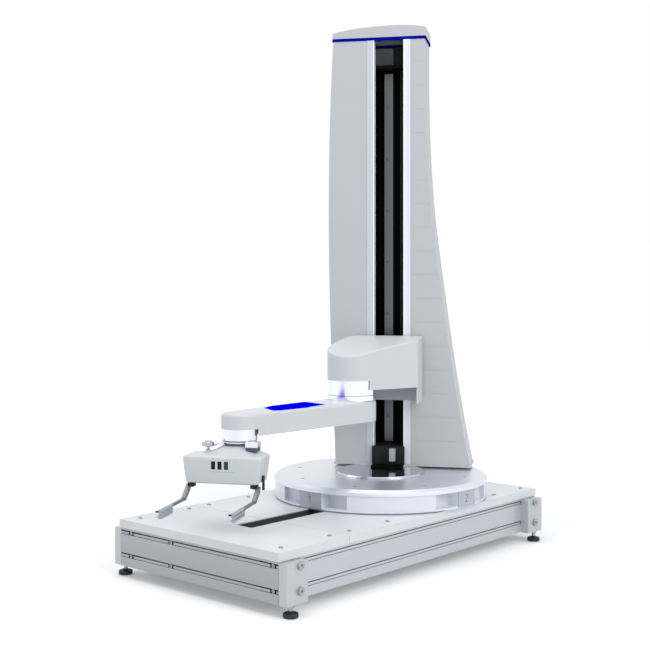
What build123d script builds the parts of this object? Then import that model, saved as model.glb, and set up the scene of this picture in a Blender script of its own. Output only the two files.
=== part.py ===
from build123d import *
from math import cos, pi, sin
import os

# Bench robot that carries microplates: a slotted-profile base with a sheet tray, a round dock casting,
# a tower that turns on it, a carriage that climbs the tower, an arm, a wrist and a two-finger gripper.
# Millimetres. Origin on the bench under the middle of the base, X across the base, Y along it, Z up.

os.makedirs("parts", exist_ok=True)

# Fits
RUNNING_FIT = 0.05
SEAT_GAP = 0.2

# Base frame
BASE_WIDTH = 440.0
BASE_LENGTH = 850.0
FRAME_UNDERSIDE = 23.0
PROFILE_WIDTH = 45.0
PROFILE_HEIGHT = 90.0
PROFILE_EDGE = 2.0
PROFILE_BORE_RADIUS = 5.0
SLOT_SPACING = 45.0
SLOT_MOUTH = 8.0
SLOT_LIP = 4.5
SLOT_BELLY = 18.0
SLOT_FLOOR = 9.0
SLOT_DEPTH = 12.5
SHEET = 2.0
SKIRT_DROP = 16.0
TRAY_SEAM = -234.0
SEAM_GAP = 1.0
TRAY_SLOT_LEFT = -8.0
TRAY_SLOT_RIGHT = 37.0
TRAY_SLOT_START = -309.0
TRAY_SLOT_END = -90.0
TROUGH_DEPTH = 30.0
TROUGH_WALL = 2.0
TROUGH_LIP = 8.0
TRAY_SCREW_ROWS = (-393.0, -262.5, -205.5, -89.0, 291.0, 401.7)
TRAY_SCREW_HEAD_RADIUS = 4.2
TRAY_SCREW_HEAD = 2.0
TRAY_SCREW_SHANK_RADIUS = 2.4
TRAY_SCREW_LENGTH = 10.0
SPARE_NUT_X = -66.8

FRAME_HALF_WIDTH = BASE_WIDTH / 2 - SHEET - 0.3
FRAME_HALF_LENGTH = BASE_LENGTH / 2 - SHEET - 0.3
FRAME_TOP = FRAME_UNDERSIDE + PROFILE_HEIGHT
TRAY_TOP = FRAME_TOP + SHEET
FRAME_MIDDLE = FRAME_UNDERSIDE + PROFILE_HEIGHT / 2
SLOT_LEVELS = (FRAME_MIDDLE - SLOT_SPACING / 2, FRAME_MIDDLE + SLOT_SPACING / 2)
INNER_WIDTH = 2 * (FRAME_HALF_WIDTH - PROFILE_WIDTH)
SIDE_PROFILE_X = FRAME_HALF_WIDTH - PROFILE_WIDTH / 2
END_PROFILE_Y = FRAME_HALF_LENGTH - PROFILE_WIDTH / 2

# Levelling feet and their brackets
BRACKET_THICKNESS = 21.0
BRACKET_LENGTH = 56.0
BRACKET_TOP = FRAME_TOP - SKIRT_DROP - 0.5
BRACKET_EDGE = 3.0
BRACKET_SCREW_INSET = 33.0
FOOT_INSET = 20.0
FOOT_STEM_RADIUS = 4.0
FOOT_STEM_TOP = 62.0
FOOT_PAD_RADIUS = 14.0
FOOT_PAD_HEIGHT = 9.0
FOOT_NUT_FLATS = 13.0
FOOT_NUT_HEIGHT = 5.0
FRAME_SCREW_RADIUS = 4.0
FRAME_SCREW_HEAD_RADIUS = 7.5
FRAME_SCREW_HEAD = 4.5
HEX_SOCKET_RADIUS = 3.0
SLOT_NUT_LENGTH = 20.0
BRACKET_MIDDLE_X = FRAME_HALF_WIDTH + BRACKET_THICKNESS / 2
BRACKET_FACE_X = FRAME_HALF_WIDTH + BRACKET_THICKNESS
FOOT_Y = FRAME_HALF_LENGTH - FOOT_INSET
BRACKET_SCREW_Y = FRAME_HALF_LENGTH - BRACKET_SCREW_INSET

# Dock casting and its cover plate
AXIS_Y = 130.7
BEAM_OFFSET = 110.0
DOCK_RADIUS = 234.0
DOCK_FOOT_RADIUS = 226.0
DOCK_SPIGOT_RADIUS = 200.0
DOCK_WALL_INNER = 182.0
DOCK_BORE = 62.0
DOCK_FLOOR = 8.0
DOCK_REBATE = 3.0
DOCK_TOP = 152.5
DOCK_ANGLES = (0.0, 90.0, 180.0, 270.0)
FACET_WIDTH = 61.0
FACET_DISTANCE = 230.5
POCKET_WIDTH = 57.0
POCKET_BACK = 206.0
POCKET_LEDGE = 7.0
PLATE_THICKNESS = 12.0
PLATE_RADIUS = 236.0
PLATE_BEVEL_DROP = 5.0
PLATE_BEVEL_RUN = 8.0
PLATE_BORE = 64.0
NUMBER_PLATE = 2.0
NUMBER_HEIGHT = 15.0
NUMBER_WIDTH = 9.0
NUMBER_STROKE = 1.4
NUMBER_PATHS = (
    (((0.2, 0.8), (0.5, 1.0), (0.5, 0.0)),),
    (((0.1, 0.75), (0.25, 0.95), (0.5, 1.0), (0.8, 0.9), (0.85, 0.7), (0.6, 0.4), (0.1, 0.0), (0.9, 0.0)),),
    (((0.1, 1.0), (0.85, 1.0), (0.45, 0.6), (0.8, 0.45), (0.85, 0.2), (0.6, 0.0), (0.1, 0.05)),),
    (((0.65, 0.0), (0.65, 1.0), (0.05, 0.3)), ((0.05, 0.3), (0.95, 0.3))),
)
NUMBER_DEPTH = 0.6
DISC_SCREW_CIRCLE = 190.0
DISC_SCREW_ANGLE = 22.5
DISC_SCREW_HEAD = 5.0
DISC_SCREW_SHANK = 2.5
PLATE_TOP = DOCK_TOP + PLATE_THICKNESS
DOCK_UNDERSIDE = TRAY_TOP
DOCK_FLOOR_TOP = FRAME_TOP + DOCK_FLOOR

# Turning drive under the plate
ROTOR_BORE = 45.0
ROTOR_SHAFT = 60.0
ROTOR_RIM_INNER = 112.0
ROTOR_RIM_OUTER = 124.5
ROTOR_WEB = 4.0
ROTOR_LIFT = 2.5
STATOR_OUTER = 165.0
STATOR_HEIGHT = 25.0
AIR_GAP = 0.5
RACE_MIDDLE = 73.0
RACE_OUTER = 90.0
RACE_INNER = 60.0
RACE_HEIGHT = 20.0
HUB_RADIUS = 100.0
HUB_STEP_RADIUS = 96.0
HUB_UNDERSIDE = PLATE_TOP + 0.4
HUB_LOWER = 2.1
HUB_TOP = HUB_UNDERSIDE + 4.1

# Tower, drawn facing -Y about its turning axis, then turned
TOWER_ANGLE = 30.0
TOWER_FRONT = 72.0
TOWER_DEPTH = 100.0
TOWER_SHELL_DEPTH = 86.0
TOWER_WALL = 4.0
FOOT_PLATE = 4.0
FOOT_LIP = 3.0
TOWER_TOP = 1143.0
STRIPE_HEIGHT = 7.0
STRIPE_PROUD = 2.0
CAP_WALL = 4.0
CAP_CORNER = 1.5
TOWER_LEFT_EDGE = ((-115.5, 0.0), (-122.5, 0.18), (-129.0, 0.38), (-131.5, 0.58), (-129.5, 0.78), (-121.0, 1.0))
TOWER_RIGHT_EDGE = ((193.0, 0.0), (167.0, 0.145), (144.5, 0.288), (125.0, 0.431), (107.0, 0.576), (95.5, 0.737), (91.5, 1.0))
TOWER_BACK_EDGE = 8.0
SEAM_COUNT = 17
SEAM_PITCH = 54.0
SEAM_WIDTH = 1.2
SEAM_DEPTH = 0.5
SEAM_START = 66.0
TOWER_BASE = HUB_TOP + FOOT_PLATE
TOWER_HEIGHT = TOWER_TOP - TOWER_BASE
TOWER_BACK = TOWER_FRONT + TOWER_DEPTH
SHELL_BACK = TOWER_FRONT + TOWER_SHELL_DEPTH

# Slot, mast and lift inside the tower
SLOT_LEFT = -25.5
SLOT_RIGHT = 42.5
STRIP_WIDTH = 16.0
STRIP_DEPTH = 22.0
STRIP_PROUD = 1.0
MAST_WALL = 3.0
MAST_DEPTH = 56.0
MAST_BACK_WALL = 4.0
MAST_TOP = 1082.0
RAIL_WIDTH = 20.0
RAIL_HEIGHT = 17.5
RAIL_WAIST = 14.0
RAIL_LOW = 216.0
RAIL_HIGH = 1076.0
RAIL_HOLE_RADIUS = 4.5
RAIL_HOLE_PITCH = 120.0
SCREW_X = 31.0
SCREW_RADIUS = 5.0
SCREW_LOW = 190.0
END_BLOCK_FRONT = 60.0
END_BLOCK_TOP = 213.0
STOP_WIDTH = 14.0
STOP_DEPTH = 6.0
STOP_X = 15.0
TOP_PLATE = 8.0
LIFT_MOTOR_SIZE = 36.0
LIFT_MOTOR_HEIGHT = 44.0
STRIP_BACK = TOWER_FRONT - STRIP_PROUD + STRIP_DEPTH
MAST_BACK = STRIP_BACK + MAST_DEPTH
RAIL_FRONT = MAST_BACK - RAIL_HEIGHT
SCREW_Y = 132.0

# Carriage
SHOULDER_LOCAL_X = -50.0
SHOULDER_LOCAL_Y = -80.0
SHOULDER_RADIUS = 52.7
NOSE_RADIUS = 53.2
CARRIAGE_RIGHT = 87.0
CARRIAGE_LEFT = -70.0
CARRIAGE_CORNER_Y = -23.0
CARRIAGE_BACK = 66.0
CARRIAGE_WALL = 3.0
CARRIAGE_LOW = 320.0
COVER_LOW = 357.0
NOSE_LOW = 377.0
COVER_BACK_TOP = 466.0
COVER_CROWN_RADIUS = 568.0
COVER_EDGE = 4.0
BRACKET_PLATE = 10.0
BRACKET_HIGH = 452.0
NECK_LEFT = -20.0
NECK_RIGHT = 38.0
BLOCK_WIDTH = 44.0
BLOCK_DEPTH = 30.0
BLOCK_LENGTH = 50.0
BLOCK_LEVELS = (328.0, 396.0)
BLOCK_FRONT = 118.0
NUT_RADIUS = 9.0
NUT_LOW = 382.0
NUT_LENGTH = 26.0
SHOULDER_RING_LOW = 345.5
SHOULDER_BORE = 30.0
SHOULDER_MOTOR_RADIUS = 36.0
SHOULDER_MOTOR_HEIGHT = 40.0
WEB_THICKNESS = 8.0

# Arm, drawn pointing along -Y from the shoulder axis
ARM_LENGTH = 338.0
ARM_SHOULDER_RADIUS = 52.7
ARM_WRIST_RADIUS = 37.0
ARM_LOW = 289.0
ARM_HIGH = 334.0
ARM_EDGE = 7.0
ARM_WALL = 4.0
ARM_FLOOR = 3.0
ARM_SOCKET_LOW = 303.0
ARM_SOCKET_RADIUS = 40.0
COLLAR_HIGH = 344.5
PANEL_OUTLINE = ((-37.0, -112.0), (-34.0, -214.0), (-18.0, -253.0), (32.0, -277.0), (36.0, -262.0), (40.0, -186.0), (31.0, -122.0))
PANEL_THICKNESS = 1.0
WRIST_RADIUS = 35.0
WRIST_LOW = 281.5
WRIST_BORE = 18.0
WRIST_MOTOR_RADIUS = 24.0
WRIST_MOTOR_HEIGHT = 20.0

# Gripper, drawn reaching along -Y from the wrist axis, then turned
GRIPPER_ANGLE = 28.0
FLANGE_RADIUS = 34.0
FLANGE_LOW = 270.0
FLANGE_HIGH = 280.7
CLAMP_LEFT = 12.0
CLAMP_RIGHT = 44.0
CLAMP_NEAR = -13.0
CLAMP_FAR = -40.0
BODY_MIDDLE_X = -12.0
BODY_TOP_WIDTH = 158.0
BODY_LOW_WIDTH = 142.0
BODY_NEAR = -12.0
BODY_FAR = -78.0
BODY_LOW = 206.0
BODY_HIGH = 257.5
BODY_CROWN = 5.0
BODY_CORNER = 5.0
BODY_WALL = 3.0
CHASSIS_PLATE = 3.0
WINDOW_HEIGHT = 14.0
WINDOW_WIDTH = 7.0
WINDOW_LEVEL = 242.0
WINDOW_OFFSETS = (-13.0, -1.0, 11.5)
WINDOW_DEPTH = 1.5
GROOVE_LEVEL = 229.0
GROOVE_LENGTH = 53.0
GROOVE_SIZE = 1.0
FINGER_OFFSET = 69.5
STEM_OFFSET = 62.5
FINGER_TRAVEL = 12.0
FINGER_BAR = 7.0
FINGER_START = -66.0
FINGER_KNEE = -93.0
FINGER_GRIP = -158.0
FINGER_TIP = -214.0
FINGER_KNEE_LEVEL = 178.0
FINGER_TOP = 226.0
FINGER_FOOT = 202.0
GRIP_PLATE = 3.0
PAD_LOW = 164.0
PAD_HIGH = 180.0
PAD_THICKNESS = 2.5
GUIDE_RADIUS = 4.0
GUIDE_LEVEL = 220.0
GUIDE_ROWS = (-34.0, -60.0)
GRIP_MOTOR_RADIUS = 14.0
KNOB_X = -58.0
KNOB_Y = -20.0
KNOB_RADIUS = 12.5
KNOB_LOW = 269.5
KNOB_HEIGHT = 11.5
KNOB_STEM_RADIUS = 4.0
KNOB_STEM_LOW = 263.5
LEVER_Y = -50.0
LEVER_PIVOT = 217.0
LEVER_LENGTH = 24.0
LEVER_WIDTH = 8.0
LEVER_THICKNESS = 3.0
LEVER_EDGE = 2.0
LEVER_PIN = 2.0

TOWER_PLACE = Location((0, AXIS_Y, 0), (0, 0, TOWER_ANGLE))
TOWER_RADIANS = TOWER_ANGLE * pi / 180
SHOULDER_X = SHOULDER_LOCAL_X * cos(TOWER_RADIANS) - SHOULDER_LOCAL_Y * sin(TOWER_RADIANS)
SHOULDER_Y = AXIS_Y + SHOULDER_LOCAL_X * sin(TOWER_RADIANS) + SHOULDER_LOCAL_Y * cos(TOWER_RADIANS)
ARM_PLACE = Location((SHOULDER_X, SHOULDER_Y, 0))
GRIPPER_PLACE = Location((SHOULDER_X, SHOULDER_Y - ARM_LENGTH, 0), (0, 0, GRIPPER_ANGLE))
BASE_PLACE = Location((0, 0, 0))
AXIS_PLACE = Location((0, AXIS_Y, 0))


def block(x0, x1, y0, y1, z0, z1):
    """Box between two corners."""
    return Pos((x0 + x1) / 2, (y0 + y1) / 2, (z0 + z1) / 2) * Box(abs(x1 - x0), abs(y1 - y0), abs(z1 - z0))


def rod(radius, z0, z1, x=0.0, y=0.0):
    """Upright cylinder between two levels."""
    return Pos(x, y, (z0 + z1) / 2) * Cylinder(radius, z1 - z0)


def tube(outer, inner, z0, z1, x=0.0, y=0.0):
    """Upright tube between two levels."""
    return rod(outer, z0, z1, x, y) - rod(inner, z0 - 1, z1 + 1, x, y)


def turned(outline):
    """Solid turned about Z from (radius, level) corners."""
    face = make_face(Plane.XZ * Polyline(*outline, outline[0]))
    return revolve(face, Axis.Z)


def slab(outline, z0, z1):
    """Flat outline of (x, y) corners raised between two levels."""
    face = make_face(Polyline(*outline, outline[0]))
    return Pos(0, 0, z0) * extrude(face, z1 - z0)


def cells(radius, z0, z1, count=6):
    """Upright prism with a regular outline."""
    return Pos(0, 0, z0) * extrude(RegularPolygon(radius, count), z1 - z0)


def save(name, place, *solids):
    """Place the solids of one piece and write them."""
    placed = [place * solid for solid in solids]
    shape = placed[0] if len(placed) == 1 else Compound(children=placed)
    export_step(shape, f"parts/{name}.step")


# Base frame
def slot_cut(x, y, turn):
    """T-slot outline opening towards the direction of turn."""
    mouth = SLOT_MOUTH / 2
    belly = SLOT_BELLY / 2
    corners = (
        (1, mouth),
        (-SLOT_LIP, mouth),
        (-SLOT_LIP, belly),
        (-SLOT_LIP - 3.5, belly),
        (-SLOT_DEPTH, SLOT_FLOOR / 2),
        (-SLOT_DEPTH, -SLOT_FLOOR / 2),
        (-SLOT_LIP - 3.5, -belly),
        (-SLOT_LIP, -belly),
        (-SLOT_LIP, -mouth),
        (1, -mouth),
    )
    return Pos(x, y) * Rot(0, 0, turn) * make_face(Polyline(*corners, corners[0]))


def profile_section():
    """Cross-section of the slotted profile, upright, width along its own X."""
    half = PROFILE_WIDTH / 2
    section = RectangleRounded(PROFILE_WIDTH, PROFILE_HEIGHT, PROFILE_EDGE)
    for level in (-SLOT_SPACING / 2, SLOT_SPACING / 2):
        section -= slot_cut(half, level, 0)
        section -= slot_cut(-half, level, 180)
        section -= Pos(0, level) * Circle(PROFILE_BORE_RADIUS)
    section -= slot_cut(0, PROFILE_HEIGHT / 2, 90)
    section -= slot_cut(0, -PROFILE_HEIGHT / 2, -90)
    return section


def side_profile(x):
    """Profile that runs the whole length of the base."""
    raw = extrude(Plane.XZ * profile_section(), FRAME_HALF_LENGTH, both=True)
    return Pos(x, 0, FRAME_MIDDLE) * raw


def cross_profile(y):
    """Profile between the two side profiles."""
    raw = extrude(Plane.YZ * profile_section(), INNER_WIDTH / 2, both=True)
    return Pos(0, y, FRAME_MIDDLE) * raw


def tray(y0, y1, closed_end):
    """Sheet tray with its rim folded down on three sides."""
    half = BASE_WIDTH / 2
    sheet = block(-half, half, y0, y1, FRAME_TOP - SKIRT_DROP + SHEET, TRAY_TOP)
    inner_y0 = y0 + SHEET if closed_end < 0 else y0 - 1
    inner_y1 = y1 - SHEET if closed_end > 0 else y1 + 1
    sheet -= block(-half + SHEET, half - SHEET, inner_y0, inner_y1, FRAME_TOP - SKIRT_DROP, FRAME_TOP)
    sheet -= block(TRAY_SLOT_LEFT, TRAY_SLOT_RIGHT, TRAY_SLOT_START, TRAY_SLOT_END, FRAME_TOP - 1, TRAY_TOP + 1)
    sheet -= rod(DOCK_SPIGOT_RADIUS + 0.5, FRAME_TOP - 1, TRAY_TOP + 1, 0, AXIS_Y)
    for row in TRAY_SCREW_ROWS:
        if y0 < row < y1:
            for x in (-SIDE_PROFILE_X, SIDE_PROFILE_X):
                sheet -= rod(TRAY_SCREW_SHANK_RADIUS + SEAT_GAP, FRAME_TOP - 1, TRAY_TOP + 1, x, row)
    return sheet


def cable_trough():
    """Open trough with a lip all round, fixed under the slot of the trays."""
    wall = SEAT_GAP + TROUGH_WALL
    lip = wall + TROUGH_LIP
    body = trough_box(wall, FRAME_TOP - TROUGH_DEPTH, FRAME_TOP)
    body += trough_box(lip, FRAME_TOP - TROUGH_WALL, FRAME_TOP)
    return body - trough_box(SEAT_GAP, FRAME_TOP - TROUGH_DEPTH + TROUGH_WALL, FRAME_TOP + 1)


def trough_box(grow, z0, z1):
    """Box larger than the tray slot by grow on each side."""
    x0, x1 = TRAY_SLOT_LEFT - grow, TRAY_SLOT_RIGHT + grow
    return block(x0, x1, TRAY_SLOT_START - grow, TRAY_SLOT_END + grow, z0, z1)


def screw(head_radius, head, shank_radius, length, socket):
    """Socket screw standing on its shank, head seated at level zero."""
    body = rod(head_radius, 0, head) + rod(shank_radius, -length, 0)
    return body - cells(socket, head / 2, head + 1)


def tray_screws():
    """Button screws that hold the trays in the top slots."""
    one = screw(TRAY_SCREW_HEAD_RADIUS, TRAY_SCREW_HEAD, TRAY_SCREW_SHANK_RADIUS, TRAY_SCREW_LENGTH, 1.5)
    return [Pos(x, row, TRAY_TOP) * one for row in TRAY_SCREW_ROWS for x in (-SIDE_PROFILE_X, SIDE_PROFILE_X)]


def foot_bracket(side, end):
    """Upright block bolted outside a corner, carrying one levelling foot."""
    y0 = end * (FRAME_HALF_LENGTH - BRACKET_LENGTH)
    y1 = end * FRAME_HALF_LENGTH
    raw = block(side * FRAME_HALF_WIDTH, side * BRACKET_FACE_X, y0, y1, FRAME_UNDERSIDE, BRACKET_TOP)
    outer = raw.edges().filter_by(Axis.Z).sort_by(Axis.X)
    raw = fillet(outer[-2:] if side > 0 else outer[:2], BRACKET_EDGE)
    raw -= rod(FOOT_STEM_RADIUS + RUNNING_FIT, FRAME_UNDERSIDE - 1, FOOT_STEM_TOP + 2, side * BRACKET_MIDDLE_X, end * FOOT_Y)
    for level in SLOT_LEVELS:
        hole = Cylinder(FRAME_SCREW_RADIUS + SEAT_GAP, 3 * BRACKET_THICKNESS)
        raw -= Pos(side * BRACKET_MIDDLE_X, end * BRACKET_SCREW_Y, level) * Rot(0, 90, 0) * hole
    return raw


CORNERS = tuple((side, end) for side in (-1, 1) for end in (-1, 1))
CORNER_NAMES = {(-1, -1): "front_left", (1, -1): "front_right", (-1, 1): "rear_left", (1, 1): "rear_right"}


def frame_screws():
    """Screws that pull the foot brackets against the slots."""
    one = screw(
        FRAME_SCREW_HEAD_RADIUS,
        FRAME_SCREW_HEAD,
        FRAME_SCREW_RADIUS,
        BRACKET_THICKNESS + SLOT_DEPTH - 2,
        HEX_SOCKET_RADIUS,
    )
    placed = []
    for side, end in CORNERS:
        for level in SLOT_LEVELS:
            placed.append(Pos(side * BRACKET_FACE_X, end * BRACKET_SCREW_Y, level) * Rot(0, side * 90, 0) * one)
    return placed


def slot_nut():
    """Nut that slides in a slot, seated under the lips, bore along X."""
    plate = block(-3.4, 0, -SLOT_NUT_LENGTH / 2, SLOT_NUT_LENGTH / 2, -SLOT_BELLY / 2 + 0.5, SLOT_BELLY / 2 - 0.5)
    return plate - Rot(0, 90, 0) * Cylinder(FRAME_SCREW_RADIUS + RUNNING_FIT, 20)


def slot_nuts():
    """Nuts for the bracket screws and two spare ones in the front slots."""
    one = slot_nut()
    depth = FRAME_HALF_WIDTH - SLOT_LIP
    placed = []
    for side, end in CORNERS:
        turn = 0 if side > 0 else 180
        for level in SLOT_LEVELS:
            placed.append(Pos(side * depth, end * BRACKET_SCREW_Y, level) * Rot(0, 0, turn) * one)
    for level in SLOT_LEVELS:
        placed.append(Pos(SPARE_NUT_X, -FRAME_HALF_LENGTH + SLOT_LIP, level) * Rot(0, 0, -90) * one)
    return placed


def foot(side, end):
    """Levelling foot: threaded stem moulded into a round pad."""
    pad = turned(
        (
            (0, 0),
            (FOOT_PAD_RADIUS - 1.5, 0),
            (FOOT_PAD_RADIUS, 2),
            (FOOT_PAD_RADIUS - 1, FOOT_PAD_HEIGHT - 3),
            (FOOT_PAD_RADIUS - 4, FOOT_PAD_HEIGHT),
            (0, FOOT_PAD_HEIGHT),
        )
    )
    stem = rod(FOOT_STEM_RADIUS + 1.5, FOOT_PAD_HEIGHT - 1, FOOT_PAD_HEIGHT + 3) + rod(FOOT_STEM_RADIUS, FOOT_PAD_HEIGHT, FOOT_STEM_TOP)
    return Pos(side * BRACKET_MIDDLE_X, end * FOOT_Y, 0) * (pad + stem)


def foot_nuts():
    """Lock nuts under the brackets."""
    one = cells(FOOT_NUT_FLATS / 2 / cos(pi / 6), FRAME_UNDERSIDE - FOOT_NUT_HEIGHT, FRAME_UNDERSIDE)
    one -= rod(FOOT_STEM_RADIUS + RUNNING_FIT, FRAME_UNDERSIDE - FOOT_NUT_HEIGHT - 1, FRAME_UNDERSIDE + 1)
    return [Pos(side * BRACKET_MIDDLE_X, end * FOOT_Y, 0) * one for side, end in CORNERS]


save("side_profile_left", BASE_PLACE, side_profile(-SIDE_PROFILE_X))
save("side_profile_right", BASE_PLACE, side_profile(SIDE_PROFILE_X))
save("end_profile_front", BASE_PLACE, cross_profile(-END_PROFILE_Y))
save("end_profile_rear", BASE_PLACE, cross_profile(END_PROFILE_Y))
save("cross_beams", BASE_PLACE, cross_profile(AXIS_Y - BEAM_OFFSET), cross_profile(AXIS_Y + BEAM_OFFSET))
save("tray_front", BASE_PLACE, tray(-BASE_LENGTH / 2, TRAY_SEAM - SEAM_GAP / 2, -1))
save("tray_rear", BASE_PLACE, tray(TRAY_SEAM + SEAM_GAP / 2, BASE_LENGTH / 2, 1))
save("cable_trough", BASE_PLACE, cable_trough())
save("tray_screws", BASE_PLACE, *tray_screws())
save("foot_brackets", BASE_PLACE, *[foot_bracket(side, end) for side, end in CORNERS])
save("frame_screws", BASE_PLACE, *frame_screws())
save("slot_nuts", BASE_PLACE, *slot_nuts())
save("foot_nuts", BASE_PLACE, *foot_nuts())
for side, end in CORNERS:
    save(f"foot_{CORNER_NAMES[side, end]}", BASE_PLACE, foot(side, end))


# Dock casting and cover plate
def dock_base():
    """Round casting with a flat facet and two plate pockets at each dock."""
    body = turned(
        (
            (DOCK_BORE, FRAME_TOP),
            (DOCK_SPIGOT_RADIUS, FRAME_TOP),
            (DOCK_SPIGOT_RADIUS, DOCK_UNDERSIDE),
            (DOCK_FOOT_RADIUS, DOCK_UNDERSIDE),
            (DOCK_FOOT_RADIUS, DOCK_UNDERSIDE + DOCK_REBATE),
            (DOCK_RADIUS, DOCK_UNDERSIDE + DOCK_REBATE),
            (DOCK_RADIUS, DOCK_TOP),
            (DOCK_WALL_INNER, DOCK_TOP),
            (DOCK_WALL_INNER, DOCK_FLOOR_TOP),
            (DOCK_BORE, DOCK_FLOOR_TOP),
        )
    )
    low = DOCK_UNDERSIDE - 1
    cut = block(-FACET_WIDTH / 2, FACET_WIDTH / 2, -DOCK_RADIUS - 9, -FACET_DISTANCE, low, DOCK_TOP + 1)
    for hand in (-1, 1):
        near = hand * (FACET_WIDTH / 2)
        far = near + hand * POCKET_WIDTH
        cut += block(near, far, -DOCK_RADIUS - 9, -POCKET_BACK, DOCK_UNDERSIDE + POCKET_LEDGE, DOCK_TOP + 1)
    for angle in DOCK_ANGLES:
        body -= Rot(0, 0, angle) * cut
    for count in range(8):
        body -= Rot(0, 0, DISC_SCREW_ANGLE + 45 * count) * rod(DISC_SCREW_SHANK + 0.1, DOCK_TOP - 14, DOCK_TOP + 1, 0, -DISC_SCREW_CIRCLE)
    return body


def disc_plate():
    """Cover plate with a wide bevel round its upper edge."""
    body = turned(
        (
            (PLATE_BORE, DOCK_TOP),
            (PLATE_RADIUS, DOCK_TOP),
            (PLATE_RADIUS, PLATE_TOP - PLATE_BEVEL_DROP),
            (PLATE_RADIUS - PLATE_BEVEL_RUN, PLATE_TOP),
            (PLATE_BORE, PLATE_TOP),
        )
    )
    for count in range(8):
        turn = Rot(0, 0, DISC_SCREW_ANGLE + 45 * count)
        body -= turn * rod(DISC_SCREW_SHANK + 0.6, DOCK_TOP - 1, PLATE_TOP + 1, 0, -DISC_SCREW_CIRCLE)
        body -= turn * rod(DISC_SCREW_HEAD + 0.2, PLATE_TOP - 4, PLATE_TOP + 1, 0, -DISC_SCREW_CIRCLE)
    return body


def disc_screws():
    """Screws sunk in the cover plate."""
    one = rod(DISC_SCREW_HEAD, PLATE_TOP - 4, PLATE_TOP - 0.5) + rod(DISC_SCREW_SHANK, DOCK_TOP - 10, PLATE_TOP - 4)
    one -= cells(2.0, PLATE_TOP - 2.5, PLATE_TOP + 1)
    return [Rot(0, 0, DISC_SCREW_ANGLE + 45 * count) * Pos(0, -DISC_SCREW_CIRCLE, 0) * one for count in range(8)]


def number_plate(number, angle):
    """Small plate on a facet with the number of its dock."""
    z0 = DOCK_UNDERSIDE + DOCK_REBATE + 1
    plate = block(-FACET_WIDTH / 2 + 1, FACET_WIDTH / 2 - 1, -FACET_DISTANCE - NUMBER_PLATE, -FACET_DISTANCE, z0, DOCK_TOP - 1)
    middle = (z0 + DOCK_TOP) / 2
    for stroke in NUMBER_PATHS[number - 1]:
        path = [(NUMBER_WIDTH * (x - 0.5), NUMBER_HEIGHT * (y - 0.5)) for x, y in stroke]
        digit = extrude(trace(Polyline(*path), NUMBER_STROKE), NUMBER_DEPTH + 1)
        plate -= Pos(0, -FACET_DISTANCE - NUMBER_PLATE + NUMBER_DEPTH, middle) * Rot(90, 0, 0) * digit
    return Rot(0, 0, angle) * plate


def turn_rotor():
    """Hollow shaft, web and magnet rim that turn the tower."""
    low = DOCK_FLOOR_TOP + ROTOR_LIFT
    web_top = DOCK_TOP - 1
    return turned(
        (
            (ROTOR_BORE, low),
            (ROTOR_SHAFT, low),
            (ROTOR_SHAFT, web_top - ROTOR_WEB),
            (ROTOR_RIM_INNER, web_top - ROTOR_WEB),
            (ROTOR_RIM_INNER, low),
            (ROTOR_RIM_OUTER, low),
            (ROTOR_RIM_OUTER, web_top),
            (ROTOR_SHAFT, web_top),
            (ROTOR_SHAFT, HUB_UNDERSIDE),
            (ROTOR_BORE, HUB_UNDERSIDE),
        )
    )


def hub_disc():
    """Stepped disc on top of the rotor."""
    step = HUB_UNDERSIDE + HUB_LOWER
    return turned(
        (
            (0, HUB_UNDERSIDE),
            (HUB_RADIUS, HUB_UNDERSIDE),
            (HUB_RADIUS, step),
            (HUB_STEP_RADIUS, step),
            (HUB_STEP_RADIUS, HUB_TOP),
            (0, HUB_TOP),
        )
    )


race_top = DOCK_FLOOR_TOP + RACE_HEIGHT
save("dock_base", AXIS_PLACE, dock_base())
save("disc_plate", AXIS_PLACE, disc_plate())
save("disc_screws", AXIS_PLACE, *disc_screws())
save("number_plates", AXIS_PLACE, *[number_plate(n + 1, angle) for n, angle in enumerate(DOCK_ANGLES)])
save("bearing_outer", AXIS_PLACE, tube(RACE_OUTER, RACE_MIDDLE + RUNNING_FIT / 2, DOCK_FLOOR_TOP, race_top))
save("bearing_inner", AXIS_PLACE, tube(RACE_MIDDLE - RUNNING_FIT / 2, RACE_INNER, DOCK_FLOOR_TOP + ROTOR_LIFT, race_top))
save("turn_stator", AXIS_PLACE, tube(STATOR_OUTER, ROTOR_RIM_OUTER + AIR_GAP, DOCK_FLOOR_TOP, DOCK_FLOOR_TOP + STATOR_HEIGHT))
save("turn_rotor", AXIS_PLACE, turn_rotor())
save("hub_disc", AXIS_PLACE, hub_disc())


# Tower
def tower_face(grow, low, high):
    """Front outline of the tower, offset outwards by grow, between two levels."""
    left = [(x - grow, TOWER_BASE + share * TOWER_HEIGHT) for x, share in TOWER_LEFT_EDGE]
    right = [(x + grow, TOWER_BASE + share * TOWER_HEIGHT) for x, share in TOWER_RIGHT_EDGE]
    sides = Spline(*left) + Spline(*right) + Line(left[0], right[0]) + Line(left[-1], right[-1])
    outline = make_face(sides)
    return outline & Pos(0, (low + high) / 2) * Rectangle(900, high - low)


def tower_solid(grow, y0, y1, low=TOWER_BASE, high=TOWER_TOP):
    """Tower outline given depth between two distances behind the axis."""
    face = tower_face(grow, low, high)
    return Pos(0, y1, 0) * extrude(Plane.XZ * face, y1 - y0)


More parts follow.
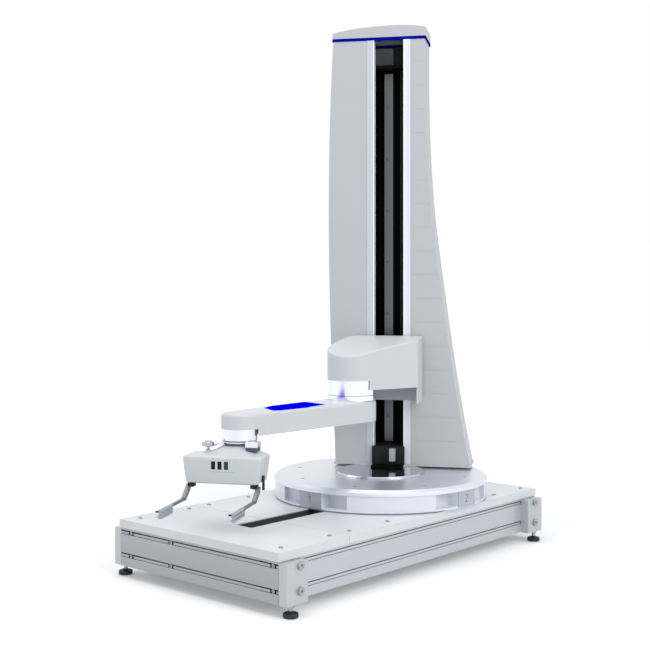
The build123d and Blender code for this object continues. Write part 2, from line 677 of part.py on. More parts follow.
def tower_wings():
    """Two wings of the tower housing, one each side of the slot, with fine seams on the right one."""
    body = tower_solid(0, TOWER_FRONT, SHELL_BACK)
    body -= tower_solid(-TOWER_WALL, TOWER_FRONT + TOWER_WALL, SHELL_BACK + 1)
    body -= block(-180, 260, TOWER_FRONT + TOWER_WALL, SHELL_BACK + 1, TOWER_TOP - 0.1, TOWER_TOP + 9)
    gap_left = SLOT_LEFT - STRIP_WIDTH - SEAT_GAP
    gap_right = SLOT_RIGHT + STRIP_WIDTH + SEAT_GAP
    body -= block(gap_left, gap_right, TOWER_FRONT - 9, SHELL_BACK + 9, TOWER_BASE - 1, TOWER_TOP + 1)
    for count in range(SEAM_COUNT):
        level = TOWER_BASE + SEAM_PITCH * (count + 1)
        body -= block(SEAM_START, 260, TOWER_FRONT - 1, TOWER_FRONT + SEAM_DEPTH, level - SEAM_WIDTH / 2, level + SEAM_WIDTH / 2)
    return body


def rear_cover():
    """Back of the tower housing with rounded rims."""
    body = tower_solid(0, SHELL_BACK, TOWER_BACK)
    back = body.faces().sort_by(Axis.Y)[-1]
    rims = [edge for edge in back.edges() if edge.bounding_box().size.Z > 100]
    body = fillet(rims, TOWER_BACK_EDGE)
    return body - tower_solid(-TOWER_WALL, SHELL_BACK - 1, TOWER_BACK - TOWER_WALL)


def tower_foot():
    """Plate that joins the hub to the underside of the tower."""
    lip = FOOT_LIP
    body = tower_solid(lip, TOWER_FRONT - lip, TOWER_BACK - lip, TOWER_BASE, TOWER_BASE + FOOT_PLATE)
    body = Pos(0, 0, -FOOT_PLATE) * body
    x0, x1 = SLOT_LEFT - MAST_WALL - lip, SLOT_RIGHT + MAST_WALL + lip
    return body + block(x0, x1, END_BLOCK_FRONT - STOP_DEPTH - lip, TOWER_FRONT, HUB_TOP, TOWER_BASE)


def tower_cap():
    """Domed cap above the stripe."""
    low = TOWER_TOP + STRIPE_HEIGHT
    left, right = TOWER_LEFT_EDGE[-1][0] - STRIPE_PROUD, TOWER_RIGHT_EDGE[-1][0] + STRIPE_PROUD
    crown = Spline((left, low + 12), (left + 41, low + 20), (left + 90, low + 24.5), (left + 160, low + 26), (right, low + 20))
    outline = crown + Polyline((right, low + 20), (right, low), (left, low), (left, low + 12))
    y0, y1 = TOWER_FRONT - 1, TOWER_BACK - 2
    body = Pos(0, y1, 0) * extrude(Plane.XZ * make_face(outline), y1 - y0)
    plan = Pos((left + right) / 2, (y0 + y1) / 2) * RectangleRounded(right - left, y1 - y0, CAP_CORNER)
    body &= Pos(0, 0, low) * extrude(plan, 60)
    top = low + CAP_WALL
    hollow = block(left + CAP_WALL, right - CAP_WALL, y0 + CAP_WALL, y1 - 9, low - 1, top + 4)
    return body - hollow


def cap_stripe():
    """Blue band between the tower and its cap."""
    left, right = TOWER_LEFT_EDGE[-1][0] - STRIPE_PROUD, TOWER_RIGHT_EDGE[-1][0] + STRIPE_PROUD
    low, high = TOWER_TOP, TOWER_TOP + STRIPE_HEIGHT
    body = block(left, right, TOWER_FRONT - 1, TOWER_BACK, low, high)
    return body - block(left + 5, right - 5, TOWER_FRONT + 5, TOWER_BACK - 5, low - 1, high + 1)


def mast():
    """Open channel that carries the rail."""
    body = block(SLOT_LEFT - MAST_WALL, SLOT_RIGHT + MAST_WALL, STRIP_BACK, MAST_BACK + MAST_BACK_WALL, TOWER_BASE, MAST_TOP)
    return body - block(SLOT_LEFT, SLOT_RIGHT, STRIP_BACK - 1, MAST_BACK, TOWER_BASE - 1, MAST_TOP + 1)


def slot_strips():
    """Light bars on both sides of the slot."""
    y0 = TOWER_FRONT - STRIP_PROUD
    pair = []
    for x0 in (SLOT_LEFT - STRIP_WIDTH, SLOT_RIGHT):
        pair.append(block(x0, x0 + STRIP_WIDTH, y0, STRIP_BACK, TOWER_BASE, TOWER_TOP))
    return pair


def lift_rail():
    """Guide rail with a waist and counterbored fixing holes."""
    half, waist = RAIL_WIDTH / 2, RAIL_WAIST / 2
    y0, y1 = RAIL_FRONT, MAST_BACK
    half_section = ((half, y0), (half, y0 + 4), (waist, y0 + 6.5), (waist, y0 + 9), (half, y0 + 11.5), (half, y1))
    mirrored = tuple((-x, y) for x, y in reversed(half_section))
    body = slab(half_section + mirrored, RAIL_LOW, RAIL_HIGH)
    holes = int((RAIL_HIGH - RAIL_LOW) // RAIL_HOLE_PITCH)
    for count in range(holes):
        level = RAIL_LOW + RAIL_HOLE_PITCH * (count + 0.5)
        body -= Pos(0, y0 + 4, level) * Rot(90, 0, 0) * Cylinder(RAIL_HOLE_RADIUS, 9)
    return body


def lower_screw_block():
    """Bearing block at the foot of the slot, with the stop for the carriage."""
    inset = SEAT_GAP
    front = block(SLOT_LEFT - MAST_WALL, SLOT_RIGHT + MAST_WALL, END_BLOCK_FRONT, TOWER_FRONT - STRIP_PROUD, TOWER_BASE, END_BLOCK_TOP)
    inner = block(SLOT_LEFT + inset, SLOT_RIGHT - inset, END_BLOCK_FRONT, MAST_BACK - inset, TOWER_BASE, END_BLOCK_TOP)
    stop = block(STOP_X - STOP_WIDTH / 2, STOP_X + STOP_WIDTH / 2, END_BLOCK_FRONT - STOP_DEPTH, END_BLOCK_FRONT + 1, TOWER_BASE, END_BLOCK_TOP - 4)
    body = front + inner + stop
    return body - rod(SCREW_RADIUS + RUNNING_FIT, SCREW_LOW - 1, END_BLOCK_TOP + 1, SCREW_X, SCREW_Y)


def upper_screw_plate():
    """Plate on top of the mast that holds the upper bearing and the motor."""
    plate = block(SLOT_LEFT - MAST_WALL, SLOT_RIGHT + MAST_WALL + 4, STRIP_BACK + 2, MAST_BACK, MAST_TOP, MAST_TOP + TOP_PLATE)
    return plate - rod(SCREW_RADIUS + RUNNING_FIT, MAST_TOP - 1, MAST_TOP + TOP_PLATE + 1, SCREW_X, SCREW_Y)


def lift_motor():
    """Square motor on top of the screw."""
    half = LIFT_MOTOR_SIZE / 2
    low = MAST_TOP + TOP_PLATE
    body = block(SCREW_X - half, SCREW_X + half, SCREW_Y - half, SCREW_Y + half, low, low + LIFT_MOTOR_HEIGHT)
    return chamfer(body.edges().filter_by(Axis.Z), 3)


save("tower_foot", TOWER_PLACE, tower_foot())
save("tower_wings", TOWER_PLACE, tower_wings())
save("rear_cover", TOWER_PLACE, rear_cover())
save("cap_stripe", TOWER_PLACE, cap_stripe())
save("tower_cap", TOWER_PLACE, tower_cap())
save("mast", TOWER_PLACE, mast())
save("slot_strips", TOWER_PLACE, *slot_strips())
save("lift_rail", TOWER_PLACE, lift_rail())
save("lower_screw_block", TOWER_PLACE, lower_screw_block())
save("upper_screw_plate", TOWER_PLACE, upper_screw_plate())
save("lift_motor", TOWER_PLACE, lift_motor())
save("lift_screw", TOWER_PLACE, rod(SCREW_RADIUS, SCREW_LOW, MAST_TOP + TOP_PLATE, SCREW_X, SCREW_Y))


# Carriage
def carriage_plan(inset=0.0):
    """Outline of the carriage seen from above: round nose and square back."""
    nose = Pos(SHOULDER_LOCAL_X, SHOULDER_LOCAL_Y) * Circle(NOSE_RADIUS - inset)
    x0, x1 = CARRIAGE_LEFT + inset, CARRIAGE_RIGHT - inset
    corners = ((x1, CARRIAGE_CORNER_Y + inset), (x1, CARRIAGE_BACK), (x0, CARRIAGE_BACK))
    square = make_face(Polyline(*corners, corners[0]))
    return make_hull((nose + square).edges())


def crowned(inset, low):
    """Carriage volume under its sloping, crowned top."""
    raw = Pos(0, 0, low) * extrude(carriage_plan(inset), 300)
    centre = COVER_BACK_TOP - inset - COVER_CROWN_RADIUS
    crown = Pos(0, CARRIAGE_BACK, centre) * Rot(0, 90, 0) * Cylinder(COVER_CROWN_RADIUS, 600)
    return raw & crown


def carriage_cover():
    """White cover of the carriage, with an arched underside and two cheeks beside the slot."""
    body = crowned(0, COVER_LOW)
    top = body.faces().sort_by(Axis.Z)[-1]
    rims = [edge for edge in top.edges() if edge.center().Y < CARRIAGE_BACK - 1]
    body = fillet(rims, COVER_EDGE)
    body -= crowned(CARRIAGE_WALL, COVER_LOW - 1)
    body -= rod(NOSE_RADIUS + 1, COVER_LOW - 1, NOSE_LOW, SHOULDER_LOCAL_X, SHOULDER_LOCAL_Y)
    right = block(CARRIAGE_RIGHT - CARRIAGE_WALL, CARRIAGE_RIGHT, CARRIAGE_CORNER_Y + 2, CARRIAGE_BACK, CARRIAGE_LOW, COVER_LOW + 5)
    left = block(CARRIAGE_LEFT, CARRIAGE_LEFT + CARRIAGE_WALL, 18, CARRIAGE_BACK, CARRIAGE_LOW, COVER_LOW + 5)
    return body + right + left


def carriage_bracket():
    """Load path of the carriage: face plate, neck through the slot and web out to the shoulder."""
    y0 = CARRIAGE_BACK - BRACKET_PLATE
    x0 = CARRIAGE_LEFT + CARRIAGE_WALL + SEAT_GAP
    x1 = CARRIAGE_RIGHT - CARRIAGE_WALL - SEAT_GAP
    plate = block(x0, x1, y0, CARRIAGE_BACK, CARRIAGE_LOW, BRACKET_HIGH)
    neck = block(NECK_LEFT, NECK_RIGHT, CARRIAGE_BACK - 1, BLOCK_FRONT, BLOCK_LEVELS[0], BLOCK_LEVELS[1] + BLOCK_LENGTH)
    nose = Pos(SHOULDER_LOCAL_X, SHOULDER_LOCAL_Y) * Circle(NOSE_RADIUS - 12)
    corners = ((60, y0 + 1), (-40, y0 + 1), (0, y0))
    web_plan = make_hull((nose + make_face(Polyline(*corners, corners[0]))).edges())
    web = Pos(0, 0, NOSE_LOW) * extrude(web_plan, WEB_THICKNESS)
    body = plate + neck + web
    return body - rod(SHOULDER_BORE, NOSE_LOW - 1, NOSE_LOW + WEB_THICKNESS + 1, SHOULDER_LOCAL_X, SHOULDER_LOCAL_Y)


def rail_blocks():
    """Two runner blocks around the rail."""
    placed = []
    half, waist = RAIL_WIDTH / 2 + RUNNING_FIT, RAIL_WAIST / 2 + RUNNING_FIT
    y0 = RAIL_FRONT - RUNNING_FIT
    for level in BLOCK_LEVELS:
        body = block(-BLOCK_WIDTH / 2, BLOCK_WIDTH / 2, BLOCK_FRONT, BLOCK_FRONT + BLOCK_DEPTH, level, level + BLOCK_LENGTH)
        body -= block(-half, half, y0, MAST_BACK + 1, level - 1, level + BLOCK_LENGTH + 1)
        placed.append(body)
    return placed


def screw_nut():
    """Nut of the lift screw with its fixing flange."""
    high = NUT_LOW + NUT_LENGTH
    body = rod(NUT_RADIUS, NUT_LOW, high, SCREW_X, SCREW_Y)
    body += block(BLOCK_WIDTH / 2 + 0.5, NECK_RIGHT, BLOCK_FRONT, SCREW_Y, NUT_LOW + 4, high - 4)
    return body - rod(SCREW_RADIUS + RUNNING_FIT, NUT_LOW - 1, high + 1, SCREW_X, SCREW_Y)


def at_shoulder(solid):
    """Move a piece drawn about Z to the shoulder axis of the carriage."""
    return Pos(SHOULDER_LOCAL_X, SHOULDER_LOCAL_Y, 0) * solid


motor_low = NOSE_LOW + WEB_THICKNESS
save("carriage_cover", TOWER_PLACE, carriage_cover())
save("carriage_bracket", TOWER_PLACE, carriage_bracket())
save("rail_blocks", TOWER_PLACE, *rail_blocks())
save("screw_nut", TOWER_PLACE, screw_nut())
save("shoulder_ring", TOWER_PLACE, at_shoulder(tube(SHOULDER_RADIUS, SHOULDER_BORE + RUNNING_FIT, SHOULDER_RING_LOW, NOSE_LOW)))
save("shoulder_motor", TOWER_PLACE, at_shoulder(rod(SHOULDER_MOTOR_RADIUS, motor_low, motor_low + SHOULDER_MOTOR_HEIGHT)))


# Arm
def arm_plan(inset=0.0):
    """Tapered outline of the arm seen from above."""
    rounds = Circle(ARM_SHOULDER_RADIUS - inset) + Pos(0, -ARM_LENGTH) * Circle(ARM_WRIST_RADIUS - inset)
    return make_hull(rounds.edges())


def arm_slab(inset, low, high):
    """Arm outline raised between two levels."""
    return Pos(0, 0, low) * extrude(arm_plan(inset), high - low)


def at_wrist(solid):
    """Move a piece drawn about Z to the wrist axis of the arm."""
    return Pos(0, -ARM_LENGTH, 0) * solid


def arm_shell():
    """Hollow arm, open below, with a raised floor over the wrist."""
    body = arm_slab(0, ARM_LOW, ARM_HIGH)
    body = fillet(body.faces().sort_by(Axis.Z)[-1].edges(), ARM_EDGE)
    hollow = arm_slab(ARM_WALL, ARM_LOW - 1, ARM_HIGH - ARM_WALL - 1)
    wall = at_wrist(rod(ARM_SOCKET_RADIUS + ARM_WALL, ARM_LOW - 1, ARM_SOCKET_LOW + ARM_WALL))
    body -= hollow - wall
    body -= at_wrist(rod(ARM_SOCKET_RADIUS, ARM_LOW - 1, ARM_SOCKET_LOW))
    body -= at_wrist(rod(WRIST_BORE, ARM_LOW - 1, ARM_SOCKET_LOW + ARM_WALL + 1))
    panel = Pos(0, 0, ARM_HIGH - PANEL_THICKNESS / 2) * extrude(panel_plan(), PANEL_THICKNESS)
    return body - panel


def panel_plan(inset=0.0):
    """Outline of the blue panel let into the top of the arm."""
    face = make_face(Polyline(*PANEL_OUTLINE, PANEL_OUTLINE[0]))
    return offset(face, -inset) if inset else face


def arm_floor():
    """Plate that closes the underside of the arm, with two cable sockets."""
    body = arm_slab(ARM_WALL + SEAT_GAP / 2, ARM_LOW, ARM_LOW + ARM_FLOOR)
    body -= at_wrist(rod(ARM_SOCKET_RADIUS + ARM_WALL + SEAT_GAP / 2, ARM_LOW - 1, ARM_LOW + ARM_FLOOR + 1))
    for x, y in ((20, 18), (32, 4)):
        body += tube(4, 2.4, ARM_LOW - 5, ARM_LOW + 1, x, y)
    return body


def wrist_housing():
    """Polished drum under the end of the arm, with its index pin."""
    drum = tube(WRIST_RADIUS, WRIST_BORE + RUNNING_FIT, WRIST_LOW, ARM_SOCKET_LOW)
    return at_wrist(drum)


collar = rod(SHOULDER_RADIUS, ARM_HIGH, COLLAR_HIGH) + rod(SHOULDER_BORE, COLLAR_HIGH, NOSE_LOW - 2)
wrist_motor = rod(WRIST_MOTOR_RADIUS, ARM_SOCKET_LOW + ARM_WALL, ARM_SOCKET_LOW + ARM_WALL + WRIST_MOTOR_HEIGHT - 1)
save("shoulder_collar", ARM_PLACE, collar)
save("arm_shell", ARM_PLACE, arm_shell())
save("arm_floor", ARM_PLACE, arm_floor())
save("arm_panel", ARM_PLACE, Pos(0, 0, ARM_HIGH - PANEL_THICKNESS / 2) * extrude(panel_plan(SEAT_GAP / 2), PANEL_THICKNESS))
save("wrist_housing", ARM_PLACE, wrist_housing())
save("wrist_motor", ARM_PLACE, at_wrist(wrist_motor))


# Gripper
def body_front(inset):
    """Front outline of the gripper cover: tapered ends and a crowned top."""
    low, high = BODY_LOW + (-1 if inset else 0), BODY_HIGH - inset
    top, foot_half = BODY_TOP_WIDTH / 2 - inset, BODY_LOW_WIDTH / 2 - inset
    crown = ThreePointArc((top, high), (0, high + BODY_CROWN), (-top, high))
    rest = Polyline((-top, high), (-foot_half, low), (foot_half, low), (top, high))
    return make_face(crown + rest)


def gripper_cover():
    """Cover of the gripper with three window pockets and a fine groove below them."""
    depth = BODY_NEAR - BODY_FAR
    outer = cover_volume()
    outer = fillet([edge for edge in outer.edges() if abs(edge.center().Z - BODY_LOW) > 1], BODY_CORNER)
    inner = Pos(0, -BODY_WALL, 0) * extrude(Plane.XZ * body_front(BODY_WALL), depth - 2 * BODY_WALL)
    body = Pos(BODY_MIDDLE_X, BODY_NEAR, 0) * (outer - inner)
    for x in WINDOW_OFFSETS:
        body -= window(BODY_MIDDLE_X + x, 0)
    half = GROOVE_LENGTH / 2
    body -= block(
        BODY_MIDDLE_X - half,
        BODY_MIDDLE_X + half,
        BODY_FAR - 1,
        BODY_FAR + GROOVE_SIZE / 2,
        GROOVE_LEVEL - GROOVE_SIZE / 2,
        GROOVE_LEVEL + GROOVE_SIZE / 2,
    )
    body -= rod(KNOB_STEM_RADIUS + RUNNING_FIT, KNOB_STEM_LOW - 9, BODY_HIGH + 9, KNOB_X, KNOB_Y)
    end = BODY_MIDDLE_X + BODY_TOP_WIDTH / 2
    return body - lever_pin(LEVER_PIN + RUNNING_FIT, end - BODY_TOP_WIDTH / 4, end + 1)


def end_half(level):
    """Half length of the cover at a level on its sloping ends."""
    share = (level - BODY_LOW) / (BODY_HIGH - BODY_LOW)
    return BODY_LOW_WIDTH / 2 + share * (BODY_TOP_WIDTH - BODY_LOW_WIDTH) / 2


def cover_volume():
    """Outer volume of the cover with sharp edges, drawn about its own middle."""
    return extrude(Plane.XZ * body_front(0), BODY_NEAR - BODY_FAR)


def window(x, clearance):
    """Indicator window in the front of the cover."""
    half_width, half_height = WINDOW_WIDTH / 2 - clearance, WINDOW_HEIGHT / 2 - clearance
    y1 = BODY_FAR + WINDOW_DEPTH
    return block(x - half_width, x + half_width, BODY_FAR + clearance * 4 - (0 if clearance else 1), y1, WINDOW_LEVEL - half_height, WINDOW_LEVEL + half_height)


def gripper_chassis():
    """Bottom plate with finger slots, guide rods and the finger motor."""
    half = BODY_LOW_WIDTH / 2 - BODY_WALL - SEAT_GAP
    y0, y1 = BODY_FAR + BODY_WALL + SEAT_GAP, BODY_NEAR - BODY_WALL - SEAT_GAP
    body = block(-half, half, y0, y1, BODY_LOW, BODY_LOW + CHASSIS_PLATE)
    gap = FINGER_BAR / 2 + 1
    for hand in (-1, 1):
        near = hand * (STEM_OFFSET - FINGER_TRAVEL - gap)
        body -= block(near, hand * (half + 5), FINGER_START - gap, FINGER_START + gap, BODY_LOW - 1, BODY_LOW + CHASSIS_PLATE + 1)
    for row in GUIDE_ROWS:
        body += Pos(0, row, GUIDE_LEVEL) * Rot(0, 90, 0) * Cylinder(GUIDE_RADIUS, 2 * half)
        body += block(-5, 5, row - 5, row + 5, BODY_LOW + 1, GUIDE_LEVEL)
    body += rod(GRIP_MOTOR_RADIUS, BODY_LOW + 1, BODY_HIGH - 10, 0, -47)
    return Pos(BODY_MIDDLE_X, 0, 0) * body


def finger(hand):
    """Finger: runner on the guide rods, stem, foot, knee and long flat holder for the pad."""
    half = FINGER_BAR / 2
    x, stem_x = hand * FINGER_OFFSET, hand * STEM_OFFSET
    low, knee = FINGER_FOOT, FINGER_KNEE_LEVEL
    runner = block(stem_x - hand * 9, stem_x + hand * half, GUIDE_ROWS[1] - 8, GUIDE_ROWS[0] + 8, GUIDE_LEVEL - 7, FINGER_TOP)
    stem = block(stem_x - half, stem_x + half, FINGER_START - half, FINGER_START + half, low - 5, GUIDE_LEVEL - 6)
    shelf = block(stem_x - hand * half, x + hand * half, FINGER_START - half, FINGER_START + half, low - 5, low)
    drop = (
        (FINGER_START + half, low),
        (FINGER_START - half, low),
        (FINGER_KNEE - 2, knee + 3),
        (FINGER_KNEE - 2, knee - 3),
        (FINGER_KNEE + 4, knee - 3),
        (FINGER_START + half, low - 9),
    )
    leg = Pos(x, 0, 0) * extrude(Plane.YZ * make_face(Polyline(*drop, drop[0])), half, both=True)
    bar = block(x - half + 1, x + half - 1, FINGER_GRIP, FINGER_KNEE + 2, knee - 3, knee + 2)
    grip = block(x - GRIP_PLATE / 2, x + GRIP_PLATE / 2, FINGER_TIP, FINGER_GRIP + 4, PAD_LOW, PAD_HIGH)
    body = runner + stem + shelf + leg + bar + grip
    for row in GUIDE_ROWS:
        body -= Pos(x, row, GUIDE_LEVEL) * Rot(0, 90, 0) * Cylinder(GUIDE_RADIUS + RUNNING_FIT, 90)
    return Pos(BODY_MIDDLE_X, 0, 0) * body


def pad(hand):
    """Ribbed pad on the inner face of a finger."""
    x = hand * (FINGER_OFFSET - GRIP_PLATE / 2)
    inner = x - hand * PAD_THICKNESS
    body = block(x, inner, FINGER_TIP, FINGER_GRIP, PAD_LOW, PAD_HIGH)
    for share in (0.25, 0.5, 0.75):
        level = PAD_LOW + share * (PAD_HIGH - PAD_LOW)
        body -= block(inner, inner + hand * 0.8, FINGER_TIP - 1, FINGER_GRIP + 1, level - 0.8, level + 0.8)
    return Pos(BODY_MIDDLE_X, 0, 0) * body


def tool_flange():
    """Tool changer: spigot, flange, clamp block and the lug the knob screws through."""
    body = rod(FLANGE_RADIUS, FLANGE_LOW, FLANGE_HIGH) + rod(WRIST_BORE, FLANGE_HIGH, ARM_SOCKET_LOW - 2)
    body += block(CLAMP_LEFT, CLAMP_RIGHT, CLAMP_FAR, CLAMP_NEAR, BODY_HIGH, FLANGE_HIGH)
    body += block(-30, 30, -34, -14, BODY_HIGH, FLANGE_LOW + 1)
    body += block(KNOB_X - 8, -20, KNOB_Y - 8, KNOB_Y + 8, KNOB_STEM_LOW, KNOB_LOW - 0.5)
    body -= Pos(BODY_MIDDLE_X, BODY_NEAR, 0) * cover_volume()
    return body - rod(KNOB_STEM_RADIUS + RUNNING_FIT, KNOB_STEM_LOW - 1, KNOB_LOW + 1, KNOB_X, KNOB_Y)


def clamp_knob():
    """Scalloped thumb knob with its stem."""
    high = KNOB_LOW + KNOB_HEIGHT
    head = rod(KNOB_RADIUS, KNOB_LOW, high)
    for count in range(6):
        head -= Rot(0, 0, 60 * count) * rod(3.2, KNOB_LOW - 1, high + 1, KNOB_RADIUS + 1.2, 0)
    return Pos(KNOB_X, KNOB_Y, 0) * (head + rod(KNOB_STEM_RADIUS, BODY_HIGH - 4, KNOB_LOW))


def lever_pin(radius, x0, x1):
    """Rod along the pivot of the lever."""
    return Pos((x0 + x1) / 2, LEVER_Y, LEVER_PIVOT) * Rot(0, 90, 0) * Cylinder(radius, x1 - x0)


def release_lever():
    """Black lever on the right end of the gripper, on a pin through the wall of the cover."""
    half = LEVER_WIDTH / 2
    x = BODY_MIDDLE_X + end_half(LEVER_PIVOT + half) + SEAT_GAP
    body = block(x, x + LEVER_THICKNESS, LEVER_Y - half, LEVER_Y + half, LEVER_PIVOT - LEVER_LENGTH, LEVER_PIVOT + half)
    body = fillet(body.edges().filter_by(Axis.X), LEVER_EDGE)
    return body + lever_pin(LEVER_PIN, BODY_MIDDLE_X + end_half(LEVER_PIVOT) - BODY_WALL - SEAT_GAP, x + 1)


def gripper_windows():
    """Three indicator windows."""
    return [window(BODY_MIDDLE_X + x, 0.1) for x in WINDOW_OFFSETS]


save("tool_flange", GRIPPER_PLACE, tool_flange())
save("gripper_cover", GRIPPER_PLACE, gripper_cover())
save("gripper_chassis", GRIPPER_PLACE, gripper_chassis())
save("gripper_windows", GRIPPER_PLACE, *gripper_windows())
save("clamp_knob", GRIPPER_PLACE, clamp_knob())
save("release_lever", GRIPPER_PLACE, release_lever())
save("finger_left", GRIPPER_PLACE, finger(-1))
save("finger_right", GRIPPER_PLACE, finger(1))
save("pad_left", GRIPPER_PLACE, pad(-1))
save("pad_right", GRIPPER_PLACE, pad(1))
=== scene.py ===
"""Looks of the microplate mover robot: finishes, fine pieces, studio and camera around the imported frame."""

import json
import logging
import math
from dataclasses import dataclass
from enum import Enum
from typing import ClassVar, Mapping, Optional, Sequence, Tuple, Union

import bpy
from mathutils import Matrix, Vector


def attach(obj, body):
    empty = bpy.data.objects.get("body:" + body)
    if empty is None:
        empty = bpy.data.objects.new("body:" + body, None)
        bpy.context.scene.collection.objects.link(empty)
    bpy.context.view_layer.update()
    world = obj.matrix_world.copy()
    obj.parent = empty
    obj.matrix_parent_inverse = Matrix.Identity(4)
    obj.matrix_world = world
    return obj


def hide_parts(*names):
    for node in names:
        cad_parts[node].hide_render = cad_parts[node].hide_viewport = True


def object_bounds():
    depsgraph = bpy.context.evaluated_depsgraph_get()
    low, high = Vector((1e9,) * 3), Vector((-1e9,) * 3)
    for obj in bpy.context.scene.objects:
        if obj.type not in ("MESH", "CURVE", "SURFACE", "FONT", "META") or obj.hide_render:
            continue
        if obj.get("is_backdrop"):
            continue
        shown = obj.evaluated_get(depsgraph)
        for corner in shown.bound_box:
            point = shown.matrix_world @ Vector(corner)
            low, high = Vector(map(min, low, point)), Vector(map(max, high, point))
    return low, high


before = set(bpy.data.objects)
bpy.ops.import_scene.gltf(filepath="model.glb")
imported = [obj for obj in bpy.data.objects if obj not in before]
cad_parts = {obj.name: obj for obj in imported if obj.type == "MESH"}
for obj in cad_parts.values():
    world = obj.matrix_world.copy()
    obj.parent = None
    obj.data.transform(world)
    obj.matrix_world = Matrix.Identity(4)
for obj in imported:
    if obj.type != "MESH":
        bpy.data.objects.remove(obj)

Colour = Tuple[float, float, float]
Point = Tuple[float, float, float]
Pair = Tuple[float, float]
Outline = Tuple[Pair, ...]
Dressing = Mapping[str, Sequence[str]]

LOG = logging.getLogger("microplate_mover")

TOWER_ANGLE = math.radians(30.0)
GRIPPER_ANGLE = math.radians(28.0)
TOWER_AXIS = Vector((0.0, 0.1307, 0.0))
SHOULDER_AXIS = Vector((-0.003301, 0.036418, 0.0))
WRIST_AXIS = Vector((-0.003301, -0.301582, 0.0))

PER_METRE = 1000.0
QUARTER_TURN = math.pi / 2
SHARP_ANGLE = math.radians(30)
SMOOTH_ANGLE = math.radians(28)
FLAT_REACH = 0.0001
MERGE_REACH = 0.000005

PHOTO_WIDTH = 650.0
FOCAL_PIXELS = 1150.0
HORIZON_ROW = 283.3
SENSOR_WIDTH = 36.0


class Axis(Enum):
    """Direction that a streaked finish runs along."""

    X = 0
    Y = 1
    Z = 2


class Wire:
    """A shader socket that takes part in Python arithmetic."""

    def __init__(self, shader: "Shader", socket: bpy.types.NodeSocket) -> None:
        """Keep the socket and the shader that it belongs to.

        Args:
            shader: The shader that makes further nodes.
            socket: The output socket that is wrapped.
        """
        self.shader = shader
        self.socket = socket

    def _math(self, operation: str, first: "Value", second: "Value") -> "Wire":
        """Add a Math node.

        Args:
            operation: The node's operation.
            first: Its first value.
            second: Its second value.

        Returns:
            The node's result.
        """
        return self.shader.node("ShaderNodeMath", {"operation": operation}, {0: first, 1: second})

    def __add__(self, other: "Value") -> "Wire":
        """Sum of two values."""
        return self._math("ADD", self, other)

    def __radd__(self, other: "Value") -> "Wire":
        """Sum with a number on the left."""
        return self._math("ADD", other, self)

    def __sub__(self, other: "Value") -> "Wire":
        """Difference of two values."""
        return self._math("SUBTRACT", self, other)

    def __rsub__(self, other: "Value") -> "Wire":
        """Difference with a number on the left."""
        return self._math("SUBTRACT", other, self)

    def __mul__(self, other: "Value") -> "Wire":
        """Product of two values."""
        return self._math("MULTIPLY", self, other)

    def __rmul__(self, other: "Value") -> "Wire":
        """Product with a number on the left."""
        return self._math("MULTIPLY", other, self)

    def __lt__(self, other: "Value") -> "Wire":
        """One where this value is the smaller."""
        return self._math("LESS_THAN", self, other)

    def __gt__(self, other: "Value") -> "Wire":
        """One where this value is the larger."""
        return self._math("GREATER_THAN", self, other)

    def __abs__(self) -> "Wire":
        """Size of the value without its sign."""
        return self._math("ABSOLUTE", self, 0.0)

    def sine(self) -> "Wire":
        """Sine of the value in radians."""
        return self._math("SINE", self, 0.0)

    def largest(self, other: "Value") -> "Wire":
        """The larger of two values."""
        return self._math("MAXIMUM", self, other)

    def output(self, name: Union[int, str]) -> "Wire":
        """Another output of the same node."""
        return Wire(self.shader, self.socket.node.outputs[name])


Value = Union[float, Wire]


